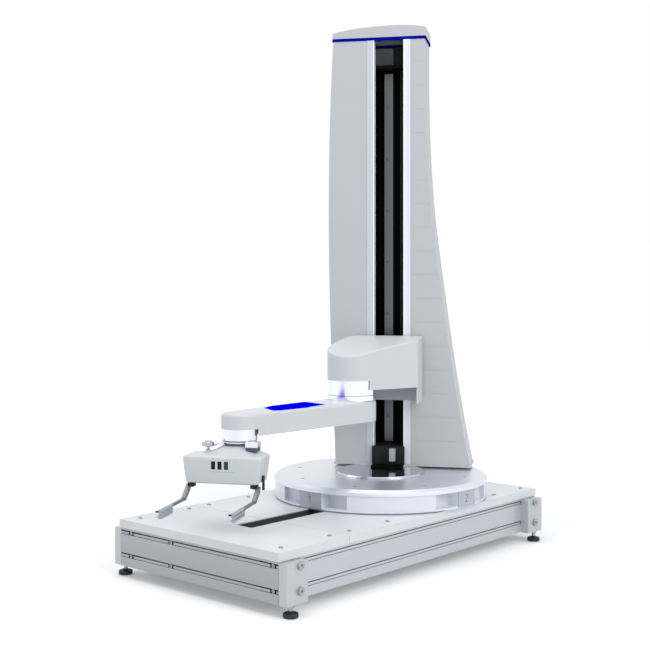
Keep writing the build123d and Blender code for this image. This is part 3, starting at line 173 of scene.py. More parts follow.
class Shader:
    """Node tree of a material or of the world."""

    def __init__(self, tree: bpy.types.NodeTree) -> None:
        """Start with an empty tree.

        Args:
            tree: The tree that is filled.
        """
        self.tree = tree
        self.tree.nodes.clear()

    @classmethod
    def material(cls, name: str) -> Tuple["Shader", bpy.types.Material]:
        """Make a material with an empty tree.

        Args:
            name: Name of the material.

        Returns:
            The shader and its material.
        """
        made = bpy.data.materials.new(name)
        made.use_nodes = True
        return cls(made.node_tree), made

    def node(
        self,
        kind: str,
        settings: Optional[Mapping[str, object]] = None,
        sockets: Optional[Mapping[Union[int, str], object]] = None,
        output: Union[int, str] = 0,
    ) -> Wire:
        """Add a node.

        Args:
            kind: The node's type.
            settings: Its settings, set first. "stops" holds a ramp's places and colours.
            sockets: Values or wires of its inputs.
            output: The output that is returned.

        Returns:
            The chosen output.
        """
        made = self.tree.nodes.new(kind)
        for name, value in (settings or {}).items():
            if name == "stops":
                self._stops(made.color_ramp, value)
            else:
                setattr(made, name, value)
        for name, value in (sockets or {}).items():
            if isinstance(value, Wire):
                self.tree.links.new(value.socket, made.inputs[name])
            else:
                made.inputs[name].default_value = value
        return Wire(self, made.outputs[output])

    @staticmethod
    def _stops(ramp: bpy.types.ColorRamp, stops: Sequence[Tuple[float, Colour]]) -> None:
        """Set the places and colours of a ramp.

        Args:
            ramp: The ramp of a node.
            stops: Place and colour of each stop, from left to right.
        """
        while len(ramp.elements) < len(stops):
            ramp.elements.new(1.0)
        for element, (place, colour) in zip(ramp.elements, stops):
            element.position = place
            element.color = (*colour, 1.0)

    def place(self) -> Wire:
        """Point on the piece, in metres."""
        return self.node("ShaderNodeTexCoord", output="Object")

    def seen(self) -> Wire:
        """One for rays that come from the camera, off a mirror or through glass."""
        path = self.node("ShaderNodeLightPath", output="Is Camera Ray")
        return path.largest(path.output("Is Glossy Ray")).largest(path.output("Is Transmission Ray"))

    def stretched(self, scale: Point, location: Point = (0.0, 0.0, 0.0), turn: float = 0.0) -> Wire:
        """Point on the piece, moved, turned about the upright and scaled.

        Args:
            scale: Factor along each axis.
            location: Shift along each axis.
            turn: Turn about Z in radians.

        Returns:
            The mapped point.
        """
        sockets = {"Vector": self.place(), "Location": location, "Rotation": (0.0, 0.0, turn), "Scale": scale}
        return self.node("ShaderNodeMapping", None, sockets)

    def noise(self, vector: Wire, scale: float, detail: float = 3.0) -> Wire:
        """Smooth noise between 0 and 1.

        Args:
            vector: Point that is looked up.
            scale: Size of the pattern, larger is finer.
            detail: Number of finer layers.

        Returns:
            The noise value.
        """
        return self.node("ShaderNodeTexNoise", None, {"Vector": vector, "Scale": scale, "Detail": detail})

    def axes(self, vector: Wire) -> Tuple[Wire, Wire, Wire]:
        """Split a point into its three numbers."""
        split = self.node("ShaderNodeSeparateXYZ", None, {0: vector})
        return split, split.output(1), split.output(2)

    def mixed(self, share: Value, first: Union[Wire, Colour], second: Union[Wire, Colour]) -> Wire:
        """Blend of two colours.

        Args:
            share: How much of the second colour shows.
            first: The colour at 0.
            second: The colour at 1.

        Returns:
            The blended colour.
        """
        pair = [c if isinstance(c, Wire) else (*c, 1.0) for c in (first, second)]
        return self.node("ShaderNodeMix", {"data_type": "RGBA"}, {0: share, 6: pair[0], 7: pair[1]}, 2)

    def bump(self, height: Wire, strength: float, depth: float) -> Wire:
        """Normal that follows a height.

        Args:
            height: The height, from 0 to 1.
            strength: How much of it shows.
            depth: The real height in metres.

        Returns:
            The changed normal.
        """
        return self.node("ShaderNodeBump", None, {"Strength": strength, "Distance": depth, "Height": height})

    def surface(self, sockets: Mapping[str, object]) -> Wire:
        """Principled surface joined to the material's output.

        Args:
            sockets: Values or wires of its inputs.

        Returns:
            The surface.
        """
        ready = {}
        for name, value in sockets.items():
            ready[name] = (*value, 1.0) if isinstance(value, tuple) and len(value) == 3 else value
        made = self.node("ShaderNodeBsdfPrincipled", None, ready)
        self.node_output(made)
        return made

    def node_output(self, surface: Wire, kind: str = "ShaderNodeOutputMaterial") -> None:
        """Join a surface to the output node."""
        made = self.tree.nodes.new(kind)
        self.tree.links.new(surface.socket, made.inputs["Surface"])


def metres(*lengths: float) -> Tuple[float, ...]:
    """Bring lengths to metres.

    Args:
        lengths: Lengths in millimetres.

    Returns:
        The same lengths in metres.
    """
    return tuple(length / PER_METRE for length in lengths)


def turned(point: Vector, angle: float) -> Vector:
    """Turn a point about the upright through the origin.

    Args:
        point: The point.
        angle: Angle in radians.

    Returns:
        The turned point.
    """
    cosine, sine = math.cos(angle), math.sin(angle)
    return Vector((cosine * point.x - sine * point.y, sine * point.x + cosine * point.y, point.z))


def tower_shift() -> Point:
    """Shift that brings the tower's axis to the origin once the point is turned.

    Returns:
        The shift.
    """
    return tuple(turned(-TOWER_AXIS, -TOWER_ANGLE))


def shade(colour: Colour, factor: float) -> Colour:
    """Lighter or darker copy of a colour.

    Args:
        colour: The colour.
        factor: Factor on each of its numbers.

    Returns:
        The changed colour.
    """
    return tuple(min(1.0, max(0.0, number * factor)) for number in colour)


@dataclass(frozen=True)
class SatinPaint:
    """Sprayed paint with a fine orange-peel skin and a slight drift in tone."""

    name: str
    colour: Colour
    roughness: float = 0.42
    peel: float = 900.0
    coat: float = 0.15

    def build(self) -> bpy.types.Material:
        """Make the material."""
        shader, made = Shader.material(self.name)
        drift = shader.noise(shader.place(), scale=7.0, detail=2.0)
        skin = shader.noise(shader.place(), scale=self.peel, detail=2.0)
        colour = shader.mixed(drift, shade(self.colour, 0.985), shade(self.colour, 1.015))
        shader.surface({
            "Base Color": colour,
            "Roughness": self.roughness + 0.06 * drift,
            "Coat Weight": self.coat,
            "Coat Roughness": 0.25,
            "Normal": shader.bump(skin, 0.12, 0.00004),
        })
        return made


@dataclass(frozen=True)
class StreakedMetal:
    """Drawn or ground metal whose fine lines run along one axis."""

    name: str
    colour: Colour
    along: Axis = Axis.Y
    metallic: float = 0.75
    roughness: float = 0.36
    fine: float = 1400.0

    def build(self) -> bpy.types.Material:
        """Make the material."""
        shader, made = Shader.material(self.name)
        scale = [1.0, 1.0, 1.0]
        scale[self.along.value] = 0.01
        lines = shader.noise(shader.stretched(tuple(scale)), self.fine, detail=2.0)
        broad = shader.noise(shader.stretched(tuple(scale)), self.fine / 12, detail=2.0)
        colour = shader.mixed(0.5 * lines + 0.5 * broad, shade(self.colour, 0.93), shade(self.colour, 1.06))
        shader.surface({
            "Base Color": colour,
            "Metallic": self.metallic,
            "Roughness": self.roughness + 0.1 * lines,
            "Normal": shader.bump(lines, 0.1, 0.00003),
        })
        return made


@dataclass(frozen=True)
class TurnedMetal:
    """Polished metal with the fine rings that a lathe leaves round an axis."""

    name: str
    colour: Colour
    centre: Vector
    roughness: float = 0.14
    pitch: float = 0.0007
    metallic: float = 1.0

    def build(self) -> bpy.types.Material:
        """Make the material."""
        shader, made = Shader.material(self.name)
        centred = shader.stretched((1.0, 1.0, 0.0), (-self.centre.x, -self.centre.y, 0.0))
        radius = shader.node("ShaderNodeVectorMath", {"operation": "LENGTH"}, {0: centred}, "Value")
        rings = (radius * (math.tau / self.pitch)).sine() * 0.5 + 0.5
        cloud = shader.noise(shader.place(), scale=30.0, detail=2.0)
        shader.surface({
            "Base Color": shader.mixed(rings, shade(self.colour, 0.96), self.colour),
            "Metallic": self.metallic,
            "Roughness": self.roughness + 0.05 * cloud,
            "Normal": shader.bump(rings, 0.03, 0.00002),
        })
        return made


@dataclass(frozen=True)
class MouldedPlastic:
    """Moulded or lacquered plastic with a fine spark texture."""

    name: str
    colour: Colour
    roughness: float = 0.4
    grain: float = 1600.0
    depth: float = 0.00005
    shine: float = 0.5

    def build(self) -> bpy.types.Material:
        """Make the material."""
        shader, made = Shader.material(self.name)
        grain = shader.noise(shader.place(), scale=self.grain, detail=2.0)
        drift = shader.noise(shader.place(), scale=11.0, detail=2.0)
        shader.surface({
            "Base Color": shader.mixed(drift, shade(self.colour, 0.97), shade(self.colour, 1.03)),
            "Roughness": self.roughness + 0.08 * grain,
            "Specular IOR Level": self.shine,
            "Normal": shader.bump(grain, 0.15, self.depth),
        })
        return made


@dataclass(frozen=True)
class ThreadedRod:
    """Dark ground metal with the rings of a thread along the upright, whose grooves are painted darker as
    painted shade.
    """

    name: str
    colour: Colour
    pitch: float = 0.00125

    def build(self) -> bpy.types.Material:
        """Make the material."""
        shader, made = Shader.material(self.name)
        height = shader.axes(shader.place())[2]
        rings = (height * (math.tau / self.pitch)).sine() * 0.5 + 0.5
        shader.surface({
            # The grooves of the thread are painted darker than the crests: painted shade.
            "Base Color": shader.mixed(rings, shade(self.colour, 0.45), self.colour),
            "Metallic": 0.8,
            "Roughness": 0.5 - 0.15 * rings,
            "Normal": shader.bump(rings, 0.7, 0.0005),
        })
        return made


@dataclass(frozen=True)
class StripWithPaintedHighlight:
    """Satin strip with painted light: its faces towards the slot wear a painted highlight, and the strip
    right of the slot is painted lighter than the left one.
    """

    name: str
    colour: Colour
    edge: Colour
    near: float
    far: float

    def build(self) -> bpy.types.Material:
        """Make the material."""
        shader, made = Shader.material(self.name)
        across = shader.axes(shader.stretched((1.0, 1.0, 1.0), tower_shift(), -TOWER_ANGLE))[0]
        # Painted light: between near and far the full highlight colour, past near over half of it, so the
        # right strip is painted lighter.
        painted_highlight = (across > self.near) * 0.55 + (across > self.near) * (across < self.far) * 0.45
        lines = shader.noise(shader.stretched((1.0, 1.0, 0.01)), 900.0)
        shader.surface({
            "Base Color": shader.mixed(painted_highlight, self.colour, self.edge),
            "Roughness": 0.4 + 0.1 * lines,
            "Metallic": 0.1,
            "Normal": shader.bump(lines, 0.05, 0.00002),
        })
        return made


@dataclass(frozen=True)
class EngravedPlate:
    """Painted plate whose engraved floor is filled with dark ink."""

    name: str
    colour: Colour
    ink: Colour
    face: float
    depth: float

    def build(self) -> bpy.types.Material:
        """Make the material."""
        shader, made = Shader.material(self.name)
        x, y, _ = shader.axes(shader.place())
        reach = abs(x).largest(abs(y - TOWER_AXIS.y))
        side = (reach < self.face - self.depth / 2) * (reach > self.face - 1.2 * self.depth)
        shader.surface({
            "Base Color": shader.mixed(side, self.colour, self.ink),
            "Roughness": 0.4 + 0.05 * shader.noise(shader.place(), 600.0),
        })
        return made


FINISHES = {
    # One anodised stock: the lighter tone of the profiles along the base is painted light; the darker tone
    # across the base (faces, covers, cross beams) is painted shade.
    "profile_y_painted_lit": StreakedMetal("profile along the base, painted lit tone", (0.54, 0.56, 0.60), Axis.Y, metallic=0.5),
    "profile_x_painted_shade": StreakedMetal("profile across the base, painted shaded tone", (0.40, 0.415, 0.43), Axis.X, metallic=0.4),
    "bracket": StreakedMetal("bracket", (0.52, 0.54, 0.57), Axis.Z, metallic=0.4, roughness=0.4),
    "tray": SatinPaint("tray paint", (0.68, 0.71, 0.735), 0.36),
    "trough": MouldedPlastic("trough plastic", (0.05, 0.052, 0.056), 0.5),
    "screw": StreakedMetal("screw steel", (0.40, 0.40, 0.41), Axis.Z, metallic=0.9, roughness=0.3),
    "steel": StreakedMetal("ground steel", (0.55, 0.56, 0.58), Axis.Z, metallic=0.95, roughness=0.25),
    "finger": StreakedMetal("finger steel", (0.20, 0.20, 0.21), Axis.Z, metallic=0.5, roughness=0.35),
    "foot": MouldedPlastic("foot rubber", (0.012, 0.012, 0.013), 0.55),
    "dock": SatinPaint("dock casting paint", (0.76, 0.79, 0.86), 0.3, coat=0.3),
    "number": EngravedPlate(
        "number plate", (0.46, 0.49, 0.54), (0.04, 0.04, 0.05), face=0.2325, depth=0.0006
    ),
    "disc": TurnedMetal("polished disc", (0.74, 0.77, 0.84), TOWER_AXIS, 0.32, metallic=0.8),
    "hub": TurnedMetal("polished hub", (0.70, 0.73, 0.80), TOWER_AXIS, 0.06),
    "shoulder": TurnedMetal("polished shoulder ring", (0.76, 0.78, 0.86), SHOULDER_AXIS, 0.16),
    "wrist": TurnedMetal("polished wrist", (0.68, 0.71, 0.77), WRIST_AXIS, 0.18),
    "flange": TurnedMetal("polished flange", (0.58, 0.62, 0.70), WRIST_AXIS, 0.22, metallic=0.7),
    "clamp": StreakedMetal("clamp aluminium", (0.80, 0.83, 0.87), Axis.Y, metallic=0.6, roughness=0.25),
    "knob": StreakedMetal("knob aluminium", (0.46, 0.48, 0.54), Axis.Z, metallic=0.6, roughness=0.28),
    # The neck and the clamp's lower step sit in shade under the ring and the clamp; their dark colour is
    # painted shade.
    "neck": StreakedMetal("neck steel, dark as painted shade", (0.09, 0.105, 0.16), Axis.Z, metallic=0.4, roughness=0.4),
    "smoke": MouldedPlastic("smoked window", (0.005, 0.007, 0.0065), 0.4, shine=0.15),
    "green": MouldedPlastic("green window", (0.012, 0.075, 0.025), 0.4, shine=0.15),
    "tower": SatinPaint("tower paint", (0.50, 0.515, 0.535), 0.5),
    # The slot strips are one stock; their brighter slot-side faces and the lighter right strip are painted
    # light.
    "strip": StripWithPaintedHighlight("strip with painted highlight", (0.58, 0.60, 0.68), (0.95, 0.96, 1.0), near=-0.0275, far=0.046),
    "stripe": MouldedPlastic("stripe blue", (0.002, 0.004, 0.30), 0.6, shine=0.0),
    "panel": MouldedPlastic("panel blue", (0.0, 0.0, 0.74), 0.6, shine=0.0),
    "cover": SatinPaint("cover paint", (0.60, 0.62, 0.645), 0.42),
    "grey": SatinPaint("inner grey paint", (0.42, 0.44, 0.47), 0.5, coat=0.0),
    # Black coat of the mast, screw plate and sill; the same black on the ends of the end-face slots is
    # painted shadow.
    "black": MouldedPlastic("black coat, also painted slot shadow", (0.0025, 0.003, 0.0035), 0.6, shine=0.04),
    "block": MouldedPlastic("block enamel", (0.013, 0.014, 0.015), 0.5, shine=0.2),
    "nickel": StreakedMetal("nickel plate", (0.42, 0.42, 0.42), Axis.X, metallic=0.2, roughness=0.4),
    "dark": MouldedPlastic("dark coat", (0.006, 0.006, 0.007), 0.35, shine=0.3),
    "rail": StreakedMetal("rail steel", (0.13, 0.135, 0.14), Axis.Z, metallic=0.9, roughness=0.3),
    "thread": ThreadedRod("thread steel", (0.03, 0.03, 0.032)),
    "motor": MouldedPlastic("motor enamel", (0.012, 0.012, 0.014), 0.5, shine=0.1),
    "winding": MouldedPlastic("winding lacquer", (0.20, 0.09, 0.04), 0.4),
    "pad": MouldedPlastic("pad rubber", (0.36, 0.39, 0.44), 0.6),
}


class Paintbox:
    """Makes each finish once and lays it on the frame's nodes and on new pieces."""

    def __init__(self) -> None:
        """Start with no material made."""
        self.made = {}

    def get(self, key: str) -> bpy.types.Material:
        """Material of a finish, made on first use.

        Args:
            key: Name of the finish.

        Returns:
            The material.
        """
        if key not in self.made:
            self.made[key] = FINISHES[key].build()
        return self.made[key]

    def dress(self, key: str, *nodes: str) -> None:
        """Lay a finish on nodes of the frame.

        Args:
            key: Name of the finish.
            nodes: Names of the nodes.
        """
        for node in nodes:
            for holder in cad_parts[node].material_slots:
                holder.material = self.get(key)
            LOG.info("%s wears %s", node, key)

    def coat(self, key: str, piece: bpy.types.Object) -> None:
        """Lay a finish on a new piece."""
        piece.data.materials.clear()
        piece.data.materials.append(self.get(key))


class Workshop:
    """Models new pieces in edit mode, in millimetres of a sub-assembly's own axes, and finishes them."""

    def __init__(self, paint: Paintbox, axis: Vector = Vector(), angle: float = 0.0) -> None:
        """Set the axes that the pieces are drawn in.

        Args:
            paint: Where the finishes come from.
            axis: Point that the axes start from, in metres.
            angle: Their turn about the upright, in radians.
        """
        self.paint = paint
        self.place = Matrix.Translation(axis) @ Matrix.Rotation(angle, 4, "Z")

    @staticmethod
    def _clear() -> None:
        """Deselect everything."""
        bpy.ops.object.select_all(action="DESELECT")

    def _select(self, piece: bpy.types.Object) -> None:
        """Make a piece the only one selected."""
        self._clear()
        piece.select_set(True)
        bpy.context.view_layer.objects.active = piece

    def _modify(self, piece: bpy.types.Object, kind: str, settings: Mapping[str, object]) -> None:
        """Add a modifier and apply it.

        Args:
            piece: The piece.
            kind: The modifier's type.
            settings: Its settings.
        """
        self._select(piece)
        made = piece.modifiers.new(kind.lower(), kind)
        for name, value in settings.items():
            setattr(made, name, value)
        bpy.ops.object.modifier_apply(modifier=made.name)

    def round_edges(self, piece: bpy.types.Object, size: float, segments: int = 3) -> None:
        """Round the sharp edges of a piece.

        Args:
            piece: The piece.
            size: Width of the rounding in millimetres.
            segments: Faces across the rounding.
        """
        self._modify(piece, "BEVEL", {
            "width": size / PER_METRE,
            "segments": segments,
            "limit_method": "ANGLE",
            "angle_limit": SHARP_ANGLE,
        })

    def block(self, name: str, low: Point, high: Point, edge: float = 0.0) -> bpy.types.Object:
        """Block between two corners, with rounded edges.

        Args:
            name: Name of the piece.
            low: Lowest corner in millimetres.
            high: Highest corner in millimetres.
            edge: Size of the rounding in millimetres.

        Returns:
            The piece.
        """
        self._clear()
        centre = (Vector(low) + Vector(high)) / (2 * PER_METRE)
        bpy.ops.mesh.primitive_cube_add(size=1.0, location=centre)
        piece = bpy.context.object
        piece.name = name
        bpy.ops.object.mode_set(mode="EDIT")
        bpy.ops.mesh.select_all(action="SELECT")
        bpy.ops.transform.resize(value=(Vector(high) - Vector(low)) / PER_METRE, center_override=centre)
        bpy.ops.object.mode_set(mode="OBJECT")
        if edge:
            self.round_edges(piece, edge)
        return piece

    def lathe(
        self, name: str, centre: Pair, outline: Sequence[Pair], sides: int = 48
    ) -> bpy.types.Object:
        """Round piece, drawn up step by step from a disc.

        Args:
            name: Name of the piece.
            centre: Its axis in millimetres.
            outline: Radius and height of each step, from the bottom up.
            sides: Faces round the axis.

        Returns:
            The piece.
        """
        self._clear()
        radius, height = outline[0]
        place = metres(*centre, height)
        bpy.ops.mesh.primitive_circle_add(
            vertices=sides, radius=radius / PER_METRE, fill_type="NGON", location=place
        )
        piece = bpy.context.object
        piece.name = name
        bpy.ops.object.mode_set(mode="EDIT")
        bpy.ops.mesh.select_all(action="SELECT")
        for wide, level in outline[1:]:
            rise = metres(0.0, 0.0, level - height)
            bpy.ops.mesh.extrude_region_move(TRANSFORM_OT_translate={"value": rise})
            share = wide / radius
            middle = metres(*centre, level)
            bpy.ops.transform.resize(value=(share, share, 1.0), center_override=middle)
            radius, height = wide, level
        bpy.ops.object.mode_set(mode="OBJECT")
        return piece

    def narrow_foot(self, piece: bpy.types.Object, level: float, share: float) -> None:
        """Narrow the underside of a piece along X.

        Args:
            piece: The piece.
            level: Height of its underside in millimetres.
            share: Width of the underside over the width of the top.
        """
        self._select(piece)
        for corner in piece.data.vertices:
            corner.select = (piece.matrix_world @ corner.co).z < level / PER_METRE + FLAT_REACH
        for part in (*piece.data.edges, *piece.data.polygons):
            part.select = False
        bpy.ops.object.mode_set(mode="EDIT")
        bpy.ops.mesh.select_mode(type="VERT")
        bpy.ops.transform.resize(value=(share, 1.0, 1.0), center_override=piece.matrix_world.translation)
        bpy.ops.object.mode_set(mode="OBJECT")

    @staticmethod
    def lay(piece: bpy.types.Object, place: Point, axis: str, sense: int = -1) -> None:
        """Lay an upright piece down and bring its foot to a place.

        Args:
            piece: The piece, modelled at the origin.
            place: The place in millimetres.
            axis: Name of the axis that it is turned about by a quarter.
            sense: Sign of the turn.
        """
        turn = Matrix.Rotation(sense * QUARTER_TURN, 4, axis)
        piece.matrix_world = Matrix.Translation(metres(*place)) @ turn

    def _combine(self, piece: bpy.types.Object, other: bpy.types.Object, operation: str) -> None:
        """Combine two pieces and remove the second.

        Args:
            piece: The piece that stays.
            other: The piece that is used up.
            operation: UNION or DIFFERENCE.
        """
        self._modify(piece, "BOOLEAN", {"operation": operation, "object": other, "solver": "EXACT"})
        bpy.data.objects.remove(other)

    def cut(self, piece: bpy.types.Object, tool: bpy.types.Object) -> None:
        """Take one piece away from another."""
        self._combine(piece, tool, "DIFFERENCE")

    def join(self, piece: bpy.types.Object, *others: bpy.types.Object) -> None:
        """Grow pieces together into the first."""
        for other in others:
            self._combine(piece, other, "UNION")

    def mill(self, piece: bpy.types.Object, through: Point, away: Point) -> None:
        """Cut a piece off at a plane and close it.

        Args:
            piece: The piece.
            through: A point of the plane in millimetres.
            away: Direction of the side that goes.
        """
        self._select(piece)
        bpy.ops.object.mode_set(mode="EDIT")
        bpy.ops.mesh.select_all(action="SELECT")
        bpy.ops.mesh.bisect(
            plane_co=Vector(through) / PER_METRE, plane_no=away, use_fill=True, clear_outer=True
        )
        bpy.ops.object.mode_set(mode="OBJECT")

    def hand_over(self, piece: bpy.types.Object, finish: str, slot: str, body: str, *replaced: str) -> None:
        """Place a piece in the frame, smooth it, dress it and set it on its body.

        Args:
            piece: The piece.
            finish: Its finish.
            slot: The record's material slot that the finish belongs to; not used.
            body: The body that it rides on.
            replaced: Nodes of the frame that it stands for.
        """
        self._select(piece)
        piece.matrix_world = self.place @ piece.matrix_world
        bpy.ops.object.transform_apply(location=True, rotation=True, scale=True)
        bpy.ops.object.mode_set(mode="EDIT")
        bpy.ops.mesh.select_all(action="SELECT")
        bpy.ops.mesh.remove_doubles(threshold=MERGE_REACH)
        bpy.ops.mesh.normals_make_consistent(inside=False)
        bpy.ops.object.mode_set(mode="OBJECT")
        bpy.ops.object.shade_smooth_by_angle(angle=SMOOTH_ANGLE)
        self.paint.coat(finish, piece)
        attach(piece, body)
        if replaced:
            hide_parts(*replaced)
        LOG.info("%s rides on %s", piece.name, body)


@dataclass
class Assembly:
    """Sub-assembly whose nodes wear finishes and which may get new pieces."""

    finishes: ClassVar[Dressing] = {}
    paint: Paintbox

    def build(self) -> None:
        """Dress the nodes and add the new pieces."""
        for finish, nodes in self.finishes.items():
            self.paint.dress(finish, *nodes)
        self.add()

    def add(self) -> None:
        """Add new pieces. A sub-assembly without any keeps this."""


@dataclass
class BaseFrame(Assembly):
    """Slotted-profile base with trays, brackets and feet."""

    finishes: ClassVar[Dressing] = {
        # The profiles along the base wear the painted lit tone and those across it the painted shaded tone of
        # the same stock.
        "profile_y_painted_lit": ("side_profile_left", "side_profile_right"),
        "profile_x_painted_shade": ("end_profile_front", "end_profile_rear", "cross_beams"),
        "tray": ("tray_front", "tray_rear"),
        "trough": ("cable_trough",),
        "screw": ("tray_screws", "frame_screws", "slot_nuts", "foot_nuts"),
        "bracket": ("foot_brackets",),
    }
    foot_x: float = 228.2
    foot_y: float = 402.7
    foot_outline: Outline = (
        (12.6, 0.0), (13.6, 0.8), (14.0, 2.0), (14.0, 6.5), (13.4, 7.8), (12.2, 8.4),
        (5.6, 8.9), (5.0, 9.6), (5.0, 11.5),
    )
    stem_outline: Outline = ((3.2, 8.5), (3.8, 9.0), (3.8, 62.0))
    slot_levels: Pair = (45.5, 90.5)
    side_face: float = 217.7
    end_face: float = 422.7
    cover_reach: float = 366.0
    cover_end_reach: float = 217.0
    cover_end_rise: Pair = (0.2, 0.8)
    face_bars: Outline = ((23.4, 41.4), (49.6, 86.4), (94.6, 98.8))
    face_depth: float = 1.3
    face_lap: float = 0.05
    face_margin: float = 0.2
    face_inner: float = 172.7
    slot_half: float = 4.1
    slot_back: float = 0.1
    screw_outline: Outline = ((3.7, 0.0), (3.7, 3.2), (3.3, 3.6), (2.0, 3.6), (2.0, 2.2))
    screw_sunk: float = 2.0
    slot_screws: Tuple[float, ...] = (-185.0, -66.0, 206.0)
    screw_room: float = 7.5
    cover_rise: Pair = (-3.1, 1.6)
    cover_sunk: Pair = (0.8, 2.4)

    def add(self) -> None:
        """Add the feet, the covers of the slots and the end faces."""
        self._feet()
        self._slot_covers()
        self._end_faces()

    def _feet(self) -> None:
        """Flat levelling feet on their stems."""
        shop = Workshop(self.paint)
        for end, name in ((-1, "front"), (1, "rear")):
            for side, hand in ((-1, "left"), (1, "right")):
                centre = (side * self.foot_x, end * self.foot_y)
                foot = shop.lathe(f"levelling_foot_{name}_{hand}", centre, self.foot_outline, 40)
                body = f"foot_{name[0]}{hand[0]}"
                shop.hand_over(foot, "foot", "foot_black", body, f"foot_{name}_{hand}")
                stem = shop.lathe(f"levelling_stem_{name}_{hand}", centre, self.stem_outline, 24)
                shop.hand_over(stem, "screw", "foot_black", body)

    def _slot_covers(self) -> None:
        """Light strips that lie in the slots of the profiles."""
        shop = Workshop(self.paint)
        near, deep = self.cover_sunk
        for level in self.slot_levels:
            low, high = level + self.cover_rise[0], level + self.cover_rise[1]
            for side, hand in ((-1, "left"), (1, "right")):
                across = sorted((side * (self.side_face - near), side * (self.side_face - deep)))
                strip = shop.block(
                    f"slot_cover_{hand}_{level:.0f}",
                    (across[0], -self.cover_reach, low), (across[1], self.cover_reach, high), 0.3,
                )
                # Side slot covers wear the painted lit tone of the profile stock.
                shop.hand_over(strip, "profile_y_painted_lit", "anodised_profile", "base")

    def _end_faces(self) -> None:
        """Faces that carry the front and rear profile over the side profiles, and their slots."""
        shop = Workshop(self.paint)
        for end, name in ((-1, "front"), (1, "rear")):
            inner, outer = sorted(end * (self.end_face + rise) for rise in (-self.face_lap, self.face_depth))
            reach = self.side_face - self.face_margin
            for number, (low, high) in enumerate(self.face_bars):
                bar = shop.block(f"{name}_face_{number + 1}", (-reach, inner, low), (reach, outer, high), 0.4)
                # The end faces wear the painted shaded tone of the profile stock.
                shop.hand_over(bar, "profile_x_painted_shade", "anodised_profile", "base")
            for level in self.slot_levels:
                self._end_slot(shop, end, name, level)

    def _end_slot(self, shop: Workshop, end: int, name: str, level: float) -> None:
        """Cover strips, screws and black sheets of painted shadow at the ends of one slot of an end face.

        Args:
            shop: Where they are modelled.
            end: -1 for the front, 1 for the rear.
            name: Name of the end.
            level: Height of the slot in millimetres.
        """
        places = sorted(-end * place for place in self.slot_screws)
        edges = [-self.cover_end_reach]
        for place in places:
            edges += [place - self.screw_room, place + self.screw_room]
        edges.append(self.cover_end_reach)
        near, far = sorted(end * (self.end_face + rise) for rise in self.cover_end_rise)
        low, high = level + self.cover_rise[0], level + self.cover_rise[1]
        for number, (start, stop) in enumerate(zip(edges[0::2], edges[1::2])):
            title = f"slot_cover_{name}_{level:.0f}_{number + 1}"
            strip = shop.block(title, (start, near, low), (stop, far, high), 0.2)
            # Cover strips of the end slots wear the painted shaded tone of the profile stock.
            shop.hand_over(strip, "profile_x_painted_shade", "anodised_profile", "base")
        # Black sheets at the back of the slot towards each side stand in for the slot's shade: painted
        # shadow.
        near, far = sorted(end * (self.end_face + rise) for rise in (-self.slot_back, self.slot_back))
        for side, hand in ((-1, "left"), (1, "right")):
            across = sorted((side * self.face_inner, side * (self.side_face - self.face_margin)))
            back = shop.block(
                f"slot_end_{name}_{hand}_{level:.0f}",
                (across[0], near, level - self.slot_half), (across[1], far, level + self.slot_half),
            )
            shop.hand_over(back, "black", "anodised_profile", "base")
        for number, place in enumerate(places):
            title = f"slot_screw_{name}_{level:.0f}_{number + 1}"
            screw = shop.lathe(title, (0.0, 0.0), self.screw_outline, 24)
            shop.lay(screw, (place, end * (self.end_face - self.screw_sunk), level), "X", -end)
            shop.hand_over(screw, "screw", "anodised_profile", "base")


@dataclass
class Dock(Assembly):
    """Round dock casting, its cover plate and the drive under it."""

    finishes: ClassVar[Dressing] = {
        "dock": ("dock_base",),
        "number": ("number_plates",),
        "disc": ("disc_plate",),
        "hub": ("hub_disc",),
        "screw": ("disc_screws", "bearing_outer", "bearing_inner"),
        "winding": ("turn_stator",),
        "motor": ("turn_rotor",),
    }


@dataclass
class Tower(Assembly):
    """Turning tower with its slot, mast, rail and lift."""

    finishes: ClassVar[Dressing] = {
        "tower": ("tower_wings", "rear_cover", "tower_cap", "tower_foot"),
        "stripe": ("cap_stripe",),
        # The slot strips wear a painted highlight on their slot-side faces and a lighter painted tone on the
        # right strip.
        "strip": ("slot_strips",),
        "black": ("mast", "upper_screw_plate"),
        "block": ("lower_screw_block",),
        "rail": ("lift_rail",),
        "thread": ("lift_screw",),
        "motor": ("lift_motor",),
    }
    rail_face: float = 131.5
    rail_low: float = 216.0
    plugs: int = 7
    plug_sunk: float = 0.2
    plug_pitch: float = 120.0
    plug_outline: Outline = ((4.2, 0.0), (4.4, 0.1), (4.4, 3.0))
    stop_low: Point = (13.5, 43.0, 182.0)
    stop_high: Point = (26.5, 59.4, 210.5)
    sill_low: Point = (-26.5, 30.0, 168.9)
    sill_high: Point = (45.5, 60.2, 173.3)

    def add(self) -> None:
        """Add the stop plate, the sill and the plugs of the rail."""
        shop = Workshop(self.paint, TOWER_AXIS, TOWER_ANGLE)
        stop = shop.block("stop_plate", self.stop_low, self.stop_high, 0.5)
        shop.hand_over(stop, "nickel", "ground_steel", "tower")
        sill = shop.block("slot_sill", self.sill_low, self.sill_high, 0.3)
        shop.hand_over(sill, "black", "black_metal", "tower")
        for number in range(self.plugs):
            level = self.rail_low + (number + 0.5) * self.plug_pitch
            plug = shop.lathe(f"rail_plug_{number + 1}", (0.0, 0.0), self.plug_outline, 24)
            shop.lay(plug, (0.0, self.rail_face + self.plug_sunk, level), "X")
            shop.hand_over(plug, "rail", "rail_steel", "tower")


